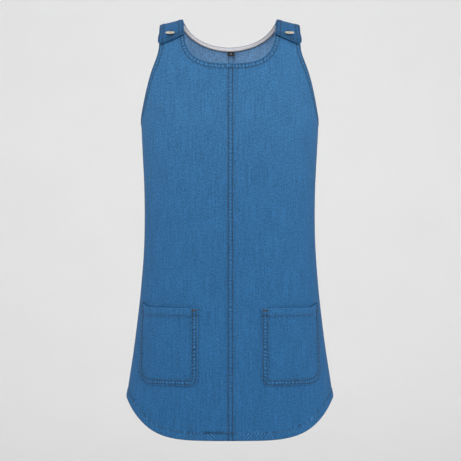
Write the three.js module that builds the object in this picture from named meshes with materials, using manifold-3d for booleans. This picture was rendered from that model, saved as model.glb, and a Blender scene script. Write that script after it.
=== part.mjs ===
// Artist's smock apron: a sleeveless pinafore of denim, shown filled out as it is worn.
//
// Every cloth piece is a thin shell that follows one body form. A piece is cut from the
// shell by an outline seen from the front, as a pattern piece is cut from cloth, and each
// layer lies a small gap above or below the next. The front faces -Y, the wearer's left is
// +X, and the origin is between the shoulders, level with the inner ends of the shoulder
// lines. Heights are measured up from a base level a little below the hem.

import * as THREE from 'three';
import { mergeVertices } from 'three/addons/utils/BufferGeometryUtils.js';
import Module from 'manifold-3d';

const wasm = await Module();
wasm.setup();

// ---------------------------------------------------------------- driving dimensions, mm

const CLOTH = 0.9; // one layer of denim
const GAP = 0.3; // air between two pieces
const LAYER = CLOTH + GAP;

const SHOULDER_HEIGHT = 881; // inner end of the shoulder line
const SHOULDER_SLOPE = 0.25; // fall of the shoulder line per mm outwards
const SHOULDER_ARC = 121; // height of the rounded shoulder above the chest
const SECTION_POWER = 2.2; // 2 is an ellipse, more is squarer

// Half-widths and depths of the filled-out smock at a few heights. They are drawn for one
// shoulder height and stretch with it.
const FORM_DRAWN_HEIGHT = 881;
const FORM_LEVELS = [
  { height: 0, halfWidth: 226, front: 144, back: 142 },
  { height: 95, halfWidth: 214.8, front: 140, back: 138 },
  { height: 184, halfWidth: 201.1, front: 133, back: 128 },
  { height: 273, halfWidth: 190.1, front: 124, back: 116 },
  { height: 380, halfWidth: 180.3, front: 117, back: 102 },
  { height: 508, halfWidth: 177.6, front: 116, back: 96 },
  { height: 631, halfWidth: 183.1, front: 125, back: 101 },
  { height: 760, halfWidth: 187, front: 130, back: 106 },
  { height: 900, halfWidth: 182, front: 130, back: 106 },
];

// Heights near the shoulder are given as drops below it.
const UNDERARM_DROP = 208.4; // where side seam and armhole meet
const ARMHOLE_RISE = 133; // up to where the armhole meets the strap's edge
const ARMHOLE_HOLLOW = 0.50257; // how full its upper bend is, as a share of its width
const ARMHOLE_FACING_WIDTH = 10;

const NECK_FRONT_DROP = 99;
const NECK_BACK_DROP = 47;
const NECK_FACING_WIDTH = 10;
const NECK_TAPE_WIDTH = 9;
const TAPE_THICKNESS = 0.7;

const STRAP_INNER = 98; // half of the distance between the straps
const STRAP_WIDTH = 48;
const STRAP_END_INNER_DROP = 38; // the tab's end line slopes down outwards
const STRAP_END_FALL = 17;
const STRAP_CORNER = 5; // clipped outer corner of the tab
const STRAP_FACING_DROP = 22; // the strap's inner layer on the back, below the shoulder line
const STRAP_TAPER = 5; // the tab's neck edge runs inwards this much down to its end

const FRONT_TOP_DROP = 9; // the front ends this far below the shoulder line, under the strap

const HEM_LOW = 15.4; // height of the hem at the centre
const HEM_CORNER_RISE = 79; // up to the corner at the side seam
const HEM_CURVE_POWER = 4.9;
const HEM_DEPTH = 15;

const SEAM_WIDTH = 11; // felled seam allowance
const SEAM_FOLD_X = -3; // its folded edge, left of the centre line

const POCKET_MOUTH_HEIGHT = 282.5;
const POCKET_MOUTH_RISE = 10; // the mouth climbs towards the side seam
const POCKET_KINK_INSET = 19; // where that climb starts, in from the outer corner
const POCKET_BOTTOM_HEIGHT = 124;
const POCKET_BOTTOM_WIDTH = 123;
const POCKET_SIDE_MARGIN = 8; // outer corner of the mouth to the side seam
const POCKET_BOTTOM_SIDE_MARGIN = 23.477; // its lower outer corner to the side seam
const POCKET_INNER_RADIUS = 16;
const POCKET_OUTER_RADIUS = 26;
const POCKET_HEM_DEPTH = 15;
const POCKET_FULLNESS = 11; // how far the patch stands off the front at its mouth

const BAR_TACK_LENGTH = 9;
const BAR_TACK_WIDTH = 2;
const BAR_TACK_HEIGHT = 0.7;

const BUTTON_RADIUS = 9.5;
const BUTTON_THICKNESS = 2.4;
const BUTTON_LEAN = 15; // degrees that its axis leans forward from upright
const BUTTON_STANDOFF = 6.6; // centre above the strap
const BUTTON_INSET = 12.5; // from the tab's end to the button's thread
const BUTTON_HOLE_RADIUS = 0.95;
const BUTTON_HOLE_SPACING = 2.7;
const SHANK_RADIUS = 1.5;
const SHANK_FOOT_RADIUS = 1.8;
const STAY_SIZE = 26;

const BUTTONHOLE_LENGTH = 17; // the slit, along the strap
const BUTTONHOLE_WIDTH = 4.4;
const BUTTONHOLE_PATCH_LENGTH = 18.6; // the worked cloth around the slit
const BUTTONHOLE_PATCH_WIDTH = 22;

const LABEL_WIDTH = 14.6;
const LABEL_HEIGHT = 9.5;
const LABEL_THICKNESS = 0.5;
const LABEL_STANDOFF = 0.8; // from the tape's inner face

// ---------------------------------------------------------------------------- materials

const cloth = (color, roughness = 0.92) =>
  new THREE.MeshStandardMaterial({ color, roughness, metalness: 0 });
const denim = cloth(0x3c6fa0);
const denimInside = cloth(0x6487af);
const thread = cloth(0x6a5f50, 0.8);
const tackThread = cloth(0x784b1e, 0.75);
const twill = cloth(0xebe6eb, 0.9);
const labelCloth = cloth(0x1c1e22, 0.85);
const resin = cloth(0xbeaa82, 0.35);

// -------------------------------------------------------------------------- solid helpers

// A closed geometry as a solid that can be cut.
function toSolid(geometry) {
  const bare = geometry.clone();
  for (const name of Object.keys(bare.attributes)) {
    if (name !== 'position') bare.deleteAttribute(name);
  }
  const merged = mergeVertices(bare, 1e-4);
  return new wasm.Manifold(
    new wasm.Mesh({
      numProp: 3,
      vertProperties: Float32Array.from(merged.attributes.position.array),
      triVerts: Uint32Array.from(merged.index.array),
    }),
  );
}

function toGeometry(solid) {
  const { vertProperties, triVerts } = solid.getMesh();
  const geometry = new THREE.BufferGeometry();
  geometry.setAttribute('position', new THREE.BufferAttribute(vertProperties, 3));
  geometry.setIndex(new THREE.BufferAttribute(triVerts, 1));
  geometry.computeVertexNormals();
  return geometry;
}

// A long prism over an outline of Vector2, along one axis from low to high. The outline's
// axes are x and z along 'y', y and z along 'x'.
function prism(outline, axis, low, high) {
  const shape = new THREE.Shape(outline);
  const geometry = new THREE.ExtrudeGeometry(shape, { depth: high - low, bevelEnabled: false });
  const placing = new THREE.Matrix4();
  const up = new THREE.Vector3(0, 0, 1);
  if (axis === 'y') {
    placing.makeBasis(new THREE.Vector3(1, 0, 0), up, new THREE.Vector3(0, -1, 0));
    placing.setPosition(0, high, 0);
  } else {
    placing.makeBasis(new THREE.Vector3(0, 1, 0), up, new THREE.Vector3(1, 0, 0));
    placing.setPosition(low, 0, 0);
  }
  return toSolid(geometry.applyMatrix4(placing));
}

const point = (x, y) => new THREE.Vector2(x, y);

// The band that lies between a line of points and the same line moved sideways.
function band(line, width) {
  const moved = line.map((p, i) => {
    const before = line[Math.max(i - 1, 0)];
    const after = line[Math.min(i + 1, line.length - 1)];
    const along = after.clone().sub(before).normalize();
    return point(p.x - along.y * width, p.y + along.x * width);
  });
  return [...line, ...moved.reverse()];
}

const mirrored = (outline, side) => {
  const turned = outline.map((p) => point(p.x * side, p.y));
  return side < 0 ? turned.reverse() : turned;
};

// ------------------------------------------------------------------------------ body form

const CHEST_HEIGHT = SHOULDER_HEIGHT - SHOULDER_ARC;
const UNDERARM_HEIGHT = SHOULDER_HEIGHT - UNDERARM_DROP;
const NECK_FRONT_HEIGHT = SHOULDER_HEIGHT - NECK_FRONT_DROP;
const NECK_BACK_HEIGHT = SHOULDER_HEIGHT - NECK_BACK_DROP;
const STRAP_END_INNER_HEIGHT = SHOULDER_HEIGHT - STRAP_END_INNER_DROP;
const FRONT = -1;
const BACK = 1;

const FORM_STRETCH = SHOULDER_HEIGHT / FORM_DRAWN_HEIGHT;
const levelHeights = FORM_LEVELS.map((level) => level.height * FORM_STRETCH);
const formCurve = (key) => {
  const curve = new THREE.CubicInterpolant(levelHeights, FORM_LEVELS.map((level) => level[key]), 1);
  return (height) => curve.evaluate(height)[0];
};
const halfWidthAt = formCurve('halfWidth');
const depthCurves = { [FRONT]: formCurve('front'), [BACK]: formCurve('back') };

// The smock's cloth on the back rises over the front's top as it nears the shoulder line,
// because the strap lies on the front there.
const backLift = (turn) => 2 * LAYER * THREE.MathUtils.smoothstep(turn, Math.PI / 4, Math.PI / 2);

// Place and outward direction at a row of the form. A row is a height up to the chest, and
// from there a turn from 0 to 90 degrees round the shoulder. round runs from -90 degrees
// at the right side seam to 90 degrees at the left one.
function formPoint(face, row, round) {
  const { height, turn } = row;
  const reach = Math.pow(Math.abs(Math.sin(round)), 2 / SECTION_POWER);
  const forward = Math.pow(Math.max(Math.cos(round), 0), 2 / SECTION_POWER);
  const width = halfWidthAt(height);
  const sideways = Math.sign(round);
  const fullDepth = depthCurves[face](Math.min(height, CHEST_HEIGHT));
  const depth = fullDepth * Math.cos(turn);
  const x = sideways * reach * width;
  const y = face * forward * depth;
  const lean = Math.pow(Math.sin(turn), 2) * SHOULDER_SLOPE;
  const z = height - lean * (Math.abs(x) - STRAP_INNER);

  const step = 1;
  const widening = (halfWidthAt(height + step) - halfWidthAt(height - step)) / (2 * step);
  const below = Math.min(height, CHEST_HEIGHT);
  const deepening =
    (depthCurves[face](below) - depthCurves[face](below - step)) / step;
  const power = SECTION_POWER;
  const upSlope = turn > 0 ? (fullDepth * Math.sin(turn)) / SHOULDER_ARC : -deepening;
  const acrossPart = sideways * Math.pow(reach, power - 1) * (depth / width) * Math.cos(turn);
  const forwardPart = face * Math.pow(forward, power - 1) * Math.cos(turn);
  const upPart =
    Math.pow(forward, power) * upSlope - Math.pow(reach, power) * widening * (depth / width);
  const outward = new THREE.Vector3(acrossPart + sideways * lean * upPart, forwardPart, upPart);
  outward.normalize();
  return { place: new THREE.Vector3(x, y, z), outward };
}

const ROWS_BELOW_CHEST = 15;
const ROWS_ON_SHOULDER = 10;
const COLUMNS = 18;

const rows = [];
for (let i = 0; i < ROWS_BELOW_CHEST; i += 1) {
  rows.push({ height: (CHEST_HEIGHT * i) / ROWS_BELOW_CHEST, turn: 0 });
}
for (let i = 0; i <= ROWS_ON_SHOULDER; i += 1) {
  const turn = ((Math.PI / 2) * i) / ROWS_ON_SHOULDER;
  rows.push({ height: CHEST_HEIGHT + SHOULDER_ARC * Math.sin(turn), turn });
}

// A closed shell over the whole front or back of the form. The cloth fills the form from
// one distance to the other, and standOff adds to both at a place on the form.
function shell(face, from, to, standOff = () => 0) {
  const positions = [];
  const columns = COLUMNS + 1;
  for (const distance of [from, to]) {
    for (const row of rows) {
      for (let j = 0; j < columns; j += 1) {
        const round = Math.PI * (j / COLUMNS - 0.5);
        const { place, outward } = formPoint(face, row, round);
        const lift = face === BACK ? backLift(row.turn) : 0;
        place.addScaledVector(outward, distance + lift + standOff(place.x, place.z));
        positions.push(place.x, place.y, place.z);
      }
    }
  }
  const index = [];
  const outer = rows.length * columns;
  const quad = (a, b, c, d) => {
    if (face === FRONT) index.push(a, b, c, a, c, d);
    else index.push(a, c, b, a, d, c);
  };
  // The two halves are split along opposite diagonals, so that they mirror each other.
  const faceQuad = (j, a, b, c, d) => {
    if (j < COLUMNS / 2) quad(a, b, c, d);
    else quad(b, c, d, a);
  };
  for (let i = 0; i + 1 < rows.length; i += 1) {
    for (let j = 0; j < COLUMNS; j += 1) {
      const low = i * columns + j;
      const high = low + columns;
      faceQuad(j, outer + low, outer + low + 1, outer + high + 1, outer + high);
      if (j < COLUMNS / 2) quad(low + 1, low, high, high + 1);
      else quad(low, high, high + 1, low + 1);
    }
    const left = i * columns;
    const right = left + COLUMNS;
    quad(left, outer + left, outer + left + columns, left + columns);
    quad(right, right + columns, outer + right + columns, outer + right);
  }
  for (let j = 0; j < COLUMNS; j += 1) {
    const top = (rows.length - 1) * columns + j;
    quad(j, j + 1, outer + j + 1, outer + j);
    quad(top, outer + top, outer + top + 1, top + 1);
  }
  const geometry = new THREE.BufferGeometry();
  geometry.setAttribute('position', new THREE.Float32BufferAttribute(positions, 3));
  geometry.setIndex(index);
  return toSolid(geometry);
}

const layers = new Map();
function layer(face, from, to) {
  const key = `${face} ${from} ${to}`;
  if (!layers.has(key)) layers.set(key, shell(face, from, to));
  return layers.get(key);
}

// The outer cloth, and the turned-in layer behind it.
const outerCloth = (face) => layer(face, 0, CLOTH);
const innerCloth = (face) => layer(face, -LAYER, -GAP);

const FAR = 400; // further than any cloth from the middle
const SEAM_HALF_GAP = GAP / 2 + 0.05;

// Cuts cloth by an outline seen from the front.
function cut(solid, face, outline, seamGap = SEAM_HALF_GAP) {
  const reach = face === FRONT ? [-FAR, -seamGap] : [seamGap, FAR];
  return solid.intersect(prism(outline, 'y', ...reach));
}

// The nearest place on the form to a place seen from the front, found row by row.
function onForm(face, x, height) {
  let low = 0;
  let high = 1;
  const rowAt = (s) => {
    const turn = Math.max(0, s - 0.5) * Math.PI;
    const chest = Math.min(s * 2, 1) * CHEST_HEIGHT;
    return { height: chest + SHOULDER_ARC * Math.sin(turn), turn };
  };
  const at = (s) => {
    const row = rowAt(s);
    const share = Math.min(Math.abs(x) / halfWidthAt(row.height), 1);
    const round = Math.sign(x) * Math.asin(Math.pow(share, SECTION_POWER / 2));
    return formPoint(face, row, round);
  };
  for (let i = 0; i < 40; i += 1) {
    const middle = (low + high) / 2;
    if (at(middle).place.z < height) low = middle;
    else high = middle;
  }
  return at(low);
}

// --------------------------------------------------------------------------------- outlines
// All outlines are for the wearer's left (+X) and are mirrored for the right.

const CURVE_STEPS = 14;
const STRAP_OUTER = STRAP_INNER + STRAP_WIDTH;
const HEM_CORNER_HEIGHT = HEM_LOW + HEM_CORNER_RISE;
const HEM_CORNER_X = halfWidthAt(HEM_CORNER_HEIGHT);
const BEYOND = 30; // past the cloth's own edge
const shoulderLineAt = (x) => SHOULDER_HEIGHT - SHOULDER_SLOPE * (x - STRAP_INNER);
const OVER_SHOULDER = SHOULDER_HEIGHT + BEYOND;

// Up from the underarm to the shoulder line, moved out by spread on the back.
function armholeLine(spread = 0) {
  const start = point(halfWidthAt(UNDERARM_HEIGHT), UNDERARM_HEIGHT);
  const end = point(STRAP_OUTER - 1 + spread / 2, UNDERARM_HEIGHT + ARMHOLE_RISE);
  const bend = ARMHOLE_HOLLOW * (start.x - STRAP_OUTER + 1);
  const curve = new THREE.CubicBezierCurve(
    start,
    point(start.x - 8 + spread, start.y + 40),
    point(end.x + bend + spread, end.y - 26),
    end,
  );
  return [...curve.getPoints(CURVE_STEPS), point(STRAP_OUTER, SHOULDER_HEIGHT)];
}

// From the centre line to the shoulder line.
function frontNeckLine() {
  const foot = point(STRAP_INNER - STRAP_TAPER - 0.5, STRAP_END_INNER_HEIGHT + 2);
  const curve = new THREE.CubicBezierCurve(
    point(0, NECK_FRONT_HEIGHT),
    point(60, NECK_FRONT_HEIGHT - 2),
    point(foot.x - 2.5, NECK_FRONT_HEIGHT + 14),
    foot,
  );
  return [...curve.getPoints(CURVE_STEPS), point(STRAP_INNER, OVER_SHOULDER)];
}

function backNeckLine() {
  const curve = new THREE.CubicBezierCurve(
    point(0, NECK_BACK_HEIGHT),
    point(45, NECK_BACK_HEIGHT + 1),
    point(STRAP_INNER - 17, NECK_BACK_HEIGHT + 17),
    point(STRAP_INNER, SHOULDER_HEIGHT),
  );
  return [...curve.getPoints(CURVE_STEPS), point(STRAP_INNER, OVER_SHOULDER)];
}

// From the centre line out past the corner at the side seam.
function hemLine(rise = 0) {
  const line = [];
  for (let i = 0; i <= CURVE_STEPS; i += 1) {
    const share = Math.pow(i / CURVE_STEPS, 0.6);
    const height = HEM_LOW + HEM_CORNER_RISE * Math.pow(share, HEM_CURVE_POWER) + rise;
    line.push(point(share * HEM_CORNER_X, height));
  }
  line.push(point(HEM_CORNER_X + BEYOND, line[CURVE_STEPS].y));
  return line;
}

// Both panels of a face run from the centre seam to the side seam.
function panelOutline(neckLine, armhole, top) {
  const inside = neckLine.filter((p) => p.y < top);
  inside[0] = point(SEAM_HALF_GAP, inside[0].y);
  const hem = hemLine();
  hem[0] = point(SEAM_HALF_GAP, hem[0].y);
  const underarm = armhole[0];
  return [
    ...hem,
    point(underarm.x + BEYOND, underarm.y),
    ...armhole.filter((p) => p.y < top),
    point(STRAP_OUTER, top),
    point(STRAP_INNER, top),
    ...inside.reverse(),
  ];
}

const FRONT_TOP = shoulderLineAt(STRAP_OUTER) - FRONT_TOP_DROP;
const BACK_SPREAD = 2;

function facingBand(line, width, low, high) {
  return band(line.filter((p) => p.y > low && p.y < high), width);
}

function hemBand() {
  const lower = hemLine();
  const upper = hemLine(HEM_DEPTH);
  lower[0] = point(SEAM_HALF_GAP, lower[0].y);
  upper[0] = point(SEAM_HALF_GAP, upper[0].y);
  return [...lower, ...upper.reverse()];
}

const rectangle = (x0, x1, y0, y1) => [point(x0, y0), point(x1, y0), point(x1, y1), point(x0, y1)];

// ----------------------------------------------------------------------------------- smock

const smock = new THREE.Group();
smock.position.z = -SHOULDER_HEIGHT;

function add(name, solid, material) {
  const mesh = new THREE.Mesh(toGeometry(solid), material);
  mesh.name = name;
  smock.add(mesh);
}

const SIDES = [
  { name: 'left', side: 1 },
  { name: 'right', side: -1 },
];

function addPanels() {
  const front = panelOutline(frontNeckLine(), armholeLine(), FRONT_TOP);
  const back = panelOutline(backNeckLine(), armholeLine(BACK_SPREAD), OVER_SHOULDER);
  for (const { name, side } of SIDES) {
    add(`front_panel_${name}`, cut(outerCloth(FRONT), FRONT, mirrored(front, side)), denim);
    add(`back_panel_${name}`, cut(outerCloth(BACK), BACK, mirrored(back, side)), denim);
  }
}

// The felled seams: a folded strip on the inside along each joined edge.
function addSeams() {
  const top = { [FRONT]: NECK_FRONT_HEIGHT - NECK_FACING_WIDTH, [BACK]: NECK_BACK_HEIGHT - NECK_TAPE_WIDTH };
  for (const [name, face] of [['front', FRONT], ['back', BACK]]) {
    const strip = rectangle(
      SEAM_FOLD_X,
      SEAM_FOLD_X + SEAM_WIDTH,
      HEM_LOW + HEM_DEPTH + GAP + CLOTH,
      top[face] - GAP - CLOTH,
    );
    add(`${name}_centre_seam`, cut(innerCloth(face), face, strip), denimInside);
  }
  const sideStrip = rectangle(
    SEAM_HALF_GAP,
    SEAM_WIDTH,
    HEM_CORNER_HEIGHT + HEM_DEPTH + CLOTH,
    UNDERARM_HEIGHT - ARMHOLE_FACING_WIDTH - CLOTH,
  );
  for (const { name, side } of SIDES) {
    const reach = side > 0 ? [0, FAR] : [-FAR, 0];
    const strip = innerCloth(BACK).intersect(prism(sideStrip, 'x', ...reach));
    add(`side_seam_${name}`, strip, denimInside);
  }
}

function addHems() {
  for (const { name, side } of SIDES) {
    const outline = mirrored(hemBand(), side);
    add(`hem_front_${name}`, cut(innerCloth(FRONT), FRONT, outline), denimInside);
    add(`hem_back_${name}`, cut(innerCloth(BACK), BACK, outline), denimInside);
  }
}

// The strap's inner layer on the back reaches down to this height.
const STRAP_FACING_LOW = shoulderLineAt(STRAP_OUTER) - STRAP_FACING_DROP;

function addArmholeFacings() {
  const low = UNDERARM_HEIGHT - 1;
  const front = facingBand(armholeLine(), ARMHOLE_FACING_WIDTH, low, FRONT_TOP);
  const back = facingBand(
    armholeLine(BACK_SPREAD),
    ARMHOLE_FACING_WIDTH,
    low,
    STRAP_FACING_LOW - CLOTH,
  );
  for (const { name, side } of SIDES) {
    add(
      `armhole_facing_front_${name}`,
      cut(innerCloth(FRONT), FRONT, mirrored(front, side)),
      denimInside,
    );
    add(
      `armhole_facing_back_${name}`,
      cut(innerCloth(BACK), BACK, mirrored(back, side)),
      denimInside,
    );
  }
}

// A band along a whole neckline, below it, from one strap to the other. The tape on the
// back covers the raw edges of the layers that it crosses.
function neckBand(line, width, high) {
  const half = line.filter((p) => p.y < high);
  const across = [...half.slice(1).reverse().map((p) => point(-p.x, p.y)), ...half];
  return band(across, -width);
}

function addNeckBands() {
  const front = neckBand(frontNeckLine(), NECK_FACING_WIDTH, STRAP_END_INNER_HEIGHT);
  const back = neckBand(backNeckLine(), NECK_TAPE_WIDTH, SHOULDER_HEIGHT - CLOTH);
  const tape = layer(BACK, -LAYER - GAP - TAPE_THICKNESS, -LAYER - GAP);
  add('front_neck_facing', cut(innerCloth(FRONT), FRONT, front), denimInside);
  add('back_neck_tape', cut(tape, BACK, back), twill);
}

// The strap: an outer layer and a lining from the shoulder line down to the tab's end.
const TAB_INNER_X = STRAP_INNER - STRAP_TAPER;
const TAB_END_OUTER_HEIGHT = STRAP_END_INNER_HEIGHT - STRAP_END_FALL;
const tabLining = { from: LAYER, to: LAYER + CLOTH };
const tabOuter = { from: 2 * LAYER, to: 2 * LAYER + CLOTH };

function tabOutline() {
  return [
    point(TAB_INNER_X, STRAP_END_INNER_HEIGHT),
    point(STRAP_OUTER - STRAP_CORNER, TAB_END_OUTER_HEIGHT),
    point(STRAP_OUTER, TAB_END_OUTER_HEIGHT + STRAP_CORNER),
    point(STRAP_OUTER, OVER_SHOULDER),
    point(STRAP_INNER, OVER_SHOULDER),
  ];
}

// Where the button's thread leaves the front, with the strap's own directions there.
function buttonSeat(side) {
  const x = (TAB_INNER_X + STRAP_OUTER) / 2;
  const endHeight = (STRAP_END_INNER_HEIGHT + TAB_END_OUTER_HEIGHT) / 2;
  const end = onForm(FRONT, x, endHeight - tabOuter.to * 0.7);
  const down = new THREE.Vector3(0, 0, -1);
  down.addScaledVector(end.outward, -down.dot(end.outward)).normalize();
  const height = end.place.z - down.z * BUTTON_INSET;
  const { place, outward } = onForm(FRONT, x, height);
  const along = new THREE.Vector3(1, 0, 0);
  along.addScaledVector(outward, -along.dot(outward)).normalize();
  if (side < 0) {
    place.x *= -1;
    outward.x *= -1;
    along.set(along.x, -along.y, -along.z);
  }
  const across = outward.clone().cross(along).normalize();
  return { place, outward, along, across };
}

// A slab with rounded corners, square to the strap at the button.
function slabAtButton(seat, width, length, radius, low, high) {
  const shape = new THREE.Shape();
  const halfWidth = width / 2;
  const halfLength = length / 2;
  shape.absarc(halfWidth - radius, halfLength - radius, radius, 0, Math.PI / 2);
  shape.absarc(radius - halfWidth, halfLength - radius, radius, Math.PI / 2, Math.PI);
  shape.absarc(radius - halfWidth, radius - halfLength, radius, Math.PI, 1.5 * Math.PI);
  shape.absarc(halfWidth - radius, radius - halfLength, radius, 1.5 * Math.PI, 2 * Math.PI);
  const settings = { depth: high - low, bevelEnabled: false, curveSegments: 4 };
  const geometry = new THREE.ExtrudeGeometry(shape, settings);
  const placing = new THREE.Matrix4().makeBasis(seat.along, seat.across, seat.outward);
  placing.setPosition(seat.place.clone().addScaledVector(seat.outward, low));
  return toSolid(geometry.applyMatrix4(placing));
}

const THROUGH = 14; // more than all the strap's layers, both ways

function addStraps() {
  const outline = tabOutline();
  const facing = rectangle(STRAP_INNER, STRAP_OUTER, STRAP_FACING_LOW, OVER_SHOULDER);
  const patchRadius = 6;
  for (const { name, side } of SIDES) {
    const seat = buttonSeat(side);
    const window = slabAtButton(
      seat,
      BUTTONHOLE_PATCH_WIDTH,
      BUTTONHOLE_PATCH_LENGTH,
      patchRadius,
      -THROUGH,
      THROUGH,
    );
    const worked = slabAtButton(
      seat,
      BUTTONHOLE_PATCH_WIDTH - 2 * GAP,
      BUTTONHOLE_PATCH_LENGTH - 2 * GAP,
      patchRadius - GAP,
      -THROUGH,
      THROUGH,
    );
    const slit = slabAtButton(
      seat,
      BUTTONHOLE_WIDTH,
      BUTTONHOLE_LENGTH,
      BUTTONHOLE_WIDTH / 2 - 0.05,
      -THROUGH,
      THROUGH,
    );
    const tab = mirrored(outline, side);
    const whole = cut(layer(FRONT, tabLining.from, tabOuter.to), FRONT, tab, GAP);
    const outer = cut(layer(FRONT, tabOuter.from, tabOuter.to), FRONT, tab, GAP);
    const lining = cut(layer(FRONT, tabLining.from, tabLining.to), FRONT, tab, GAP);
    add(`strap_tab_${name}`, outer.subtract(window), denim);
    add(`strap_tab_lining_${name}`, lining.subtract(window), denimInside);
    add(`buttonhole_${name}`, whole.intersect(worked).subtract(slit), thread);
    add(
      `strap_facing_${name}`,
      cut(innerCloth(BACK), BACK, mirrored(facing, side)),
      denimInside,
    );
  }
}

// A four-hole button lying on a thread shank, and a square of cloth behind the front.
function addButtons() {
  const lean = THREE.MathUtils.degToRad(BUTTON_LEAN);
  const axis = new THREE.Vector3(0, -Math.sin(lean), Math.cos(lean));
  const upright = new THREE.Quaternion().setFromUnitVectors(new THREE.Vector3(0, 1, 0), axis);
  for (const { name, side } of SIDES) {
    const seat = buttonSeat(side);
    const centre = seat.place
      .clone()
      .addScaledVector(seat.outward, tabOuter.to + BUTTON_STANDOFF);
    const half = BUTTON_THICKNESS / 2;
    const rim = 0.7;
    const profile = [
      point(0, -half),
      point(BUTTON_RADIUS - rim, -half),
      point(BUTTON_RADIUS, 0),
      point(BUTTON_RADIUS - rim, half),
      point(BUTTON_RADIUS - 3 * rim, half),
      point(BUTTON_RADIUS - 4 * rim, half - 0.6),
      point(0, half - 0.6),
    ];
    let head = toSolid(new THREE.LatheGeometry(profile, 32));
    for (let i = 0; i < 4; i += 1) {
      const angle = Math.PI / 4 + (i * Math.PI) / 2;
      const radius = BUTTON_HOLE_SPACING / Math.SQRT2;
      const hole = new THREE.CylinderGeometry(BUTTON_HOLE_RADIUS, BUTTON_HOLE_RADIUS, 2 * THROUGH, 10);
      hole.translate(radius * Math.cos(angle), 0, radius * Math.sin(angle));
      head = head.subtract(toSolid(hole));
    }
    const headGeometry = toGeometry(head);
    headGeometry.applyQuaternion(upright);
    headGeometry.translate(centre.x, centre.y, centre.z);
    add(`button_${name}`, toSolid(headGeometry), resin);

    // The rod's end faces lie askew to the strap and the button, so each end stops short.
    const foot = seat.place.clone().addScaledVector(seat.outward, CLOTH + GAP);
    const under = centre.clone().addScaledVector(axis, -half - GAP);
    const way = under.clone().sub(foot);
    const footTilt = SHANK_FOOT_RADIUS * Math.sin(way.angleTo(seat.outward));
    const headTilt = SHANK_RADIUS * Math.sin(way.angleTo(axis));
    foot.addScaledVector(seat.outward, footTilt);
    under.addScaledVector(axis, -headTilt);
    const rod = under.clone().sub(foot);
    const shank = new THREE.CylinderGeometry(SHANK_RADIUS, SHANK_FOOT_RADIUS, rod.length(), 10);
    const rodTurn = new THREE.Quaternion();
    rodTurn.setFromUnitVectors(new THREE.Vector3(0, 1, 0), rod.clone().normalize());
    shank.applyQuaternion(rodTurn);
    const middle = foot.clone().add(under).multiplyScalar(0.5);
    shank.translate(middle.x, middle.y, middle.z);
    add(`button_shank_${name}`, toSolid(shank), thread);

    const stay = slabAtButton(seat, STAY_SIZE, STAY_SIZE - 8, 2, -THROUGH, THROUGH);
    add(`button_stay_${name}`, innerCloth(FRONT).intersect(stay), denimInside);
  }
}

// The pocket's outline, with the mouth as its top edge.
const POCKET_OUTER_HEIGHT = POCKET_MOUTH_HEIGHT + POCKET_MOUTH_RISE;
const POCKET_OUTER_X = halfWidthAt(POCKET_OUTER_HEIGHT) - POCKET_SIDE_MARGIN;
const POCKET_KINK_X = POCKET_OUTER_X - POCKET_KINK_INSET;
const POCKET_BOTTOM_OUTER_X = halfWidthAt(POCKET_BOTTOM_HEIGHT) - POCKET_BOTTOM_SIDE_MARGIN;
const POCKET_INNER = POCKET_BOTTOM_OUTER_X - POCKET_BOTTOM_WIDTH;

function pocketOutline() {
  const shape = new THREE.Shape();
  shape.moveTo(POCKET_INNER, POCKET_MOUTH_HEIGHT);
  shape.lineTo(POCKET_INNER, POCKET_BOTTOM_HEIGHT + POCKET_INNER_RADIUS);
  shape.quadraticCurveTo(
    POCKET_INNER,
    POCKET_BOTTOM_HEIGHT,
    POCKET_INNER + POCKET_INNER_RADIUS,
    POCKET_BOTTOM_HEIGHT,
  );
  shape.lineTo(POCKET_BOTTOM_OUTER_X - POCKET_OUTER_RADIUS, POCKET_BOTTOM_HEIGHT);
  shape.quadraticCurveTo(
    POCKET_BOTTOM_OUTER_X,
    POCKET_BOTTOM_HEIGHT,
    POCKET_BOTTOM_OUTER_X,
    POCKET_BOTTOM_HEIGHT + POCKET_OUTER_RADIUS,
  );
  shape.lineTo(POCKET_OUTER_X, POCKET_OUTER_HEIGHT);
  shape.lineTo(POCKET_KINK_X, POCKET_MOUTH_HEIGHT);
  return shape.getPoints(5);
}

// The patch is sewn flat round its edge and stands off the front towards its mouth.
function pocketFullness(x, z) {
  const across = (Math.abs(x) - POCKET_INNER) / (POCKET_OUTER_X - POCKET_INNER);
  const up = (z - POCKET_BOTTOM_HEIGHT) / (POCKET_MOUTH_HEIGHT - POCKET_BOTTOM_HEIGHT);
  const { clamp } = THREE.MathUtils;
  const bulge = Math.sin(Math.PI * clamp(across, 0, 1));
  return POCKET_FULLNESS * Math.pow(bulge, 0.8) * Math.pow(clamp(up, 0, 1.2), 0.7);
}

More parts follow.
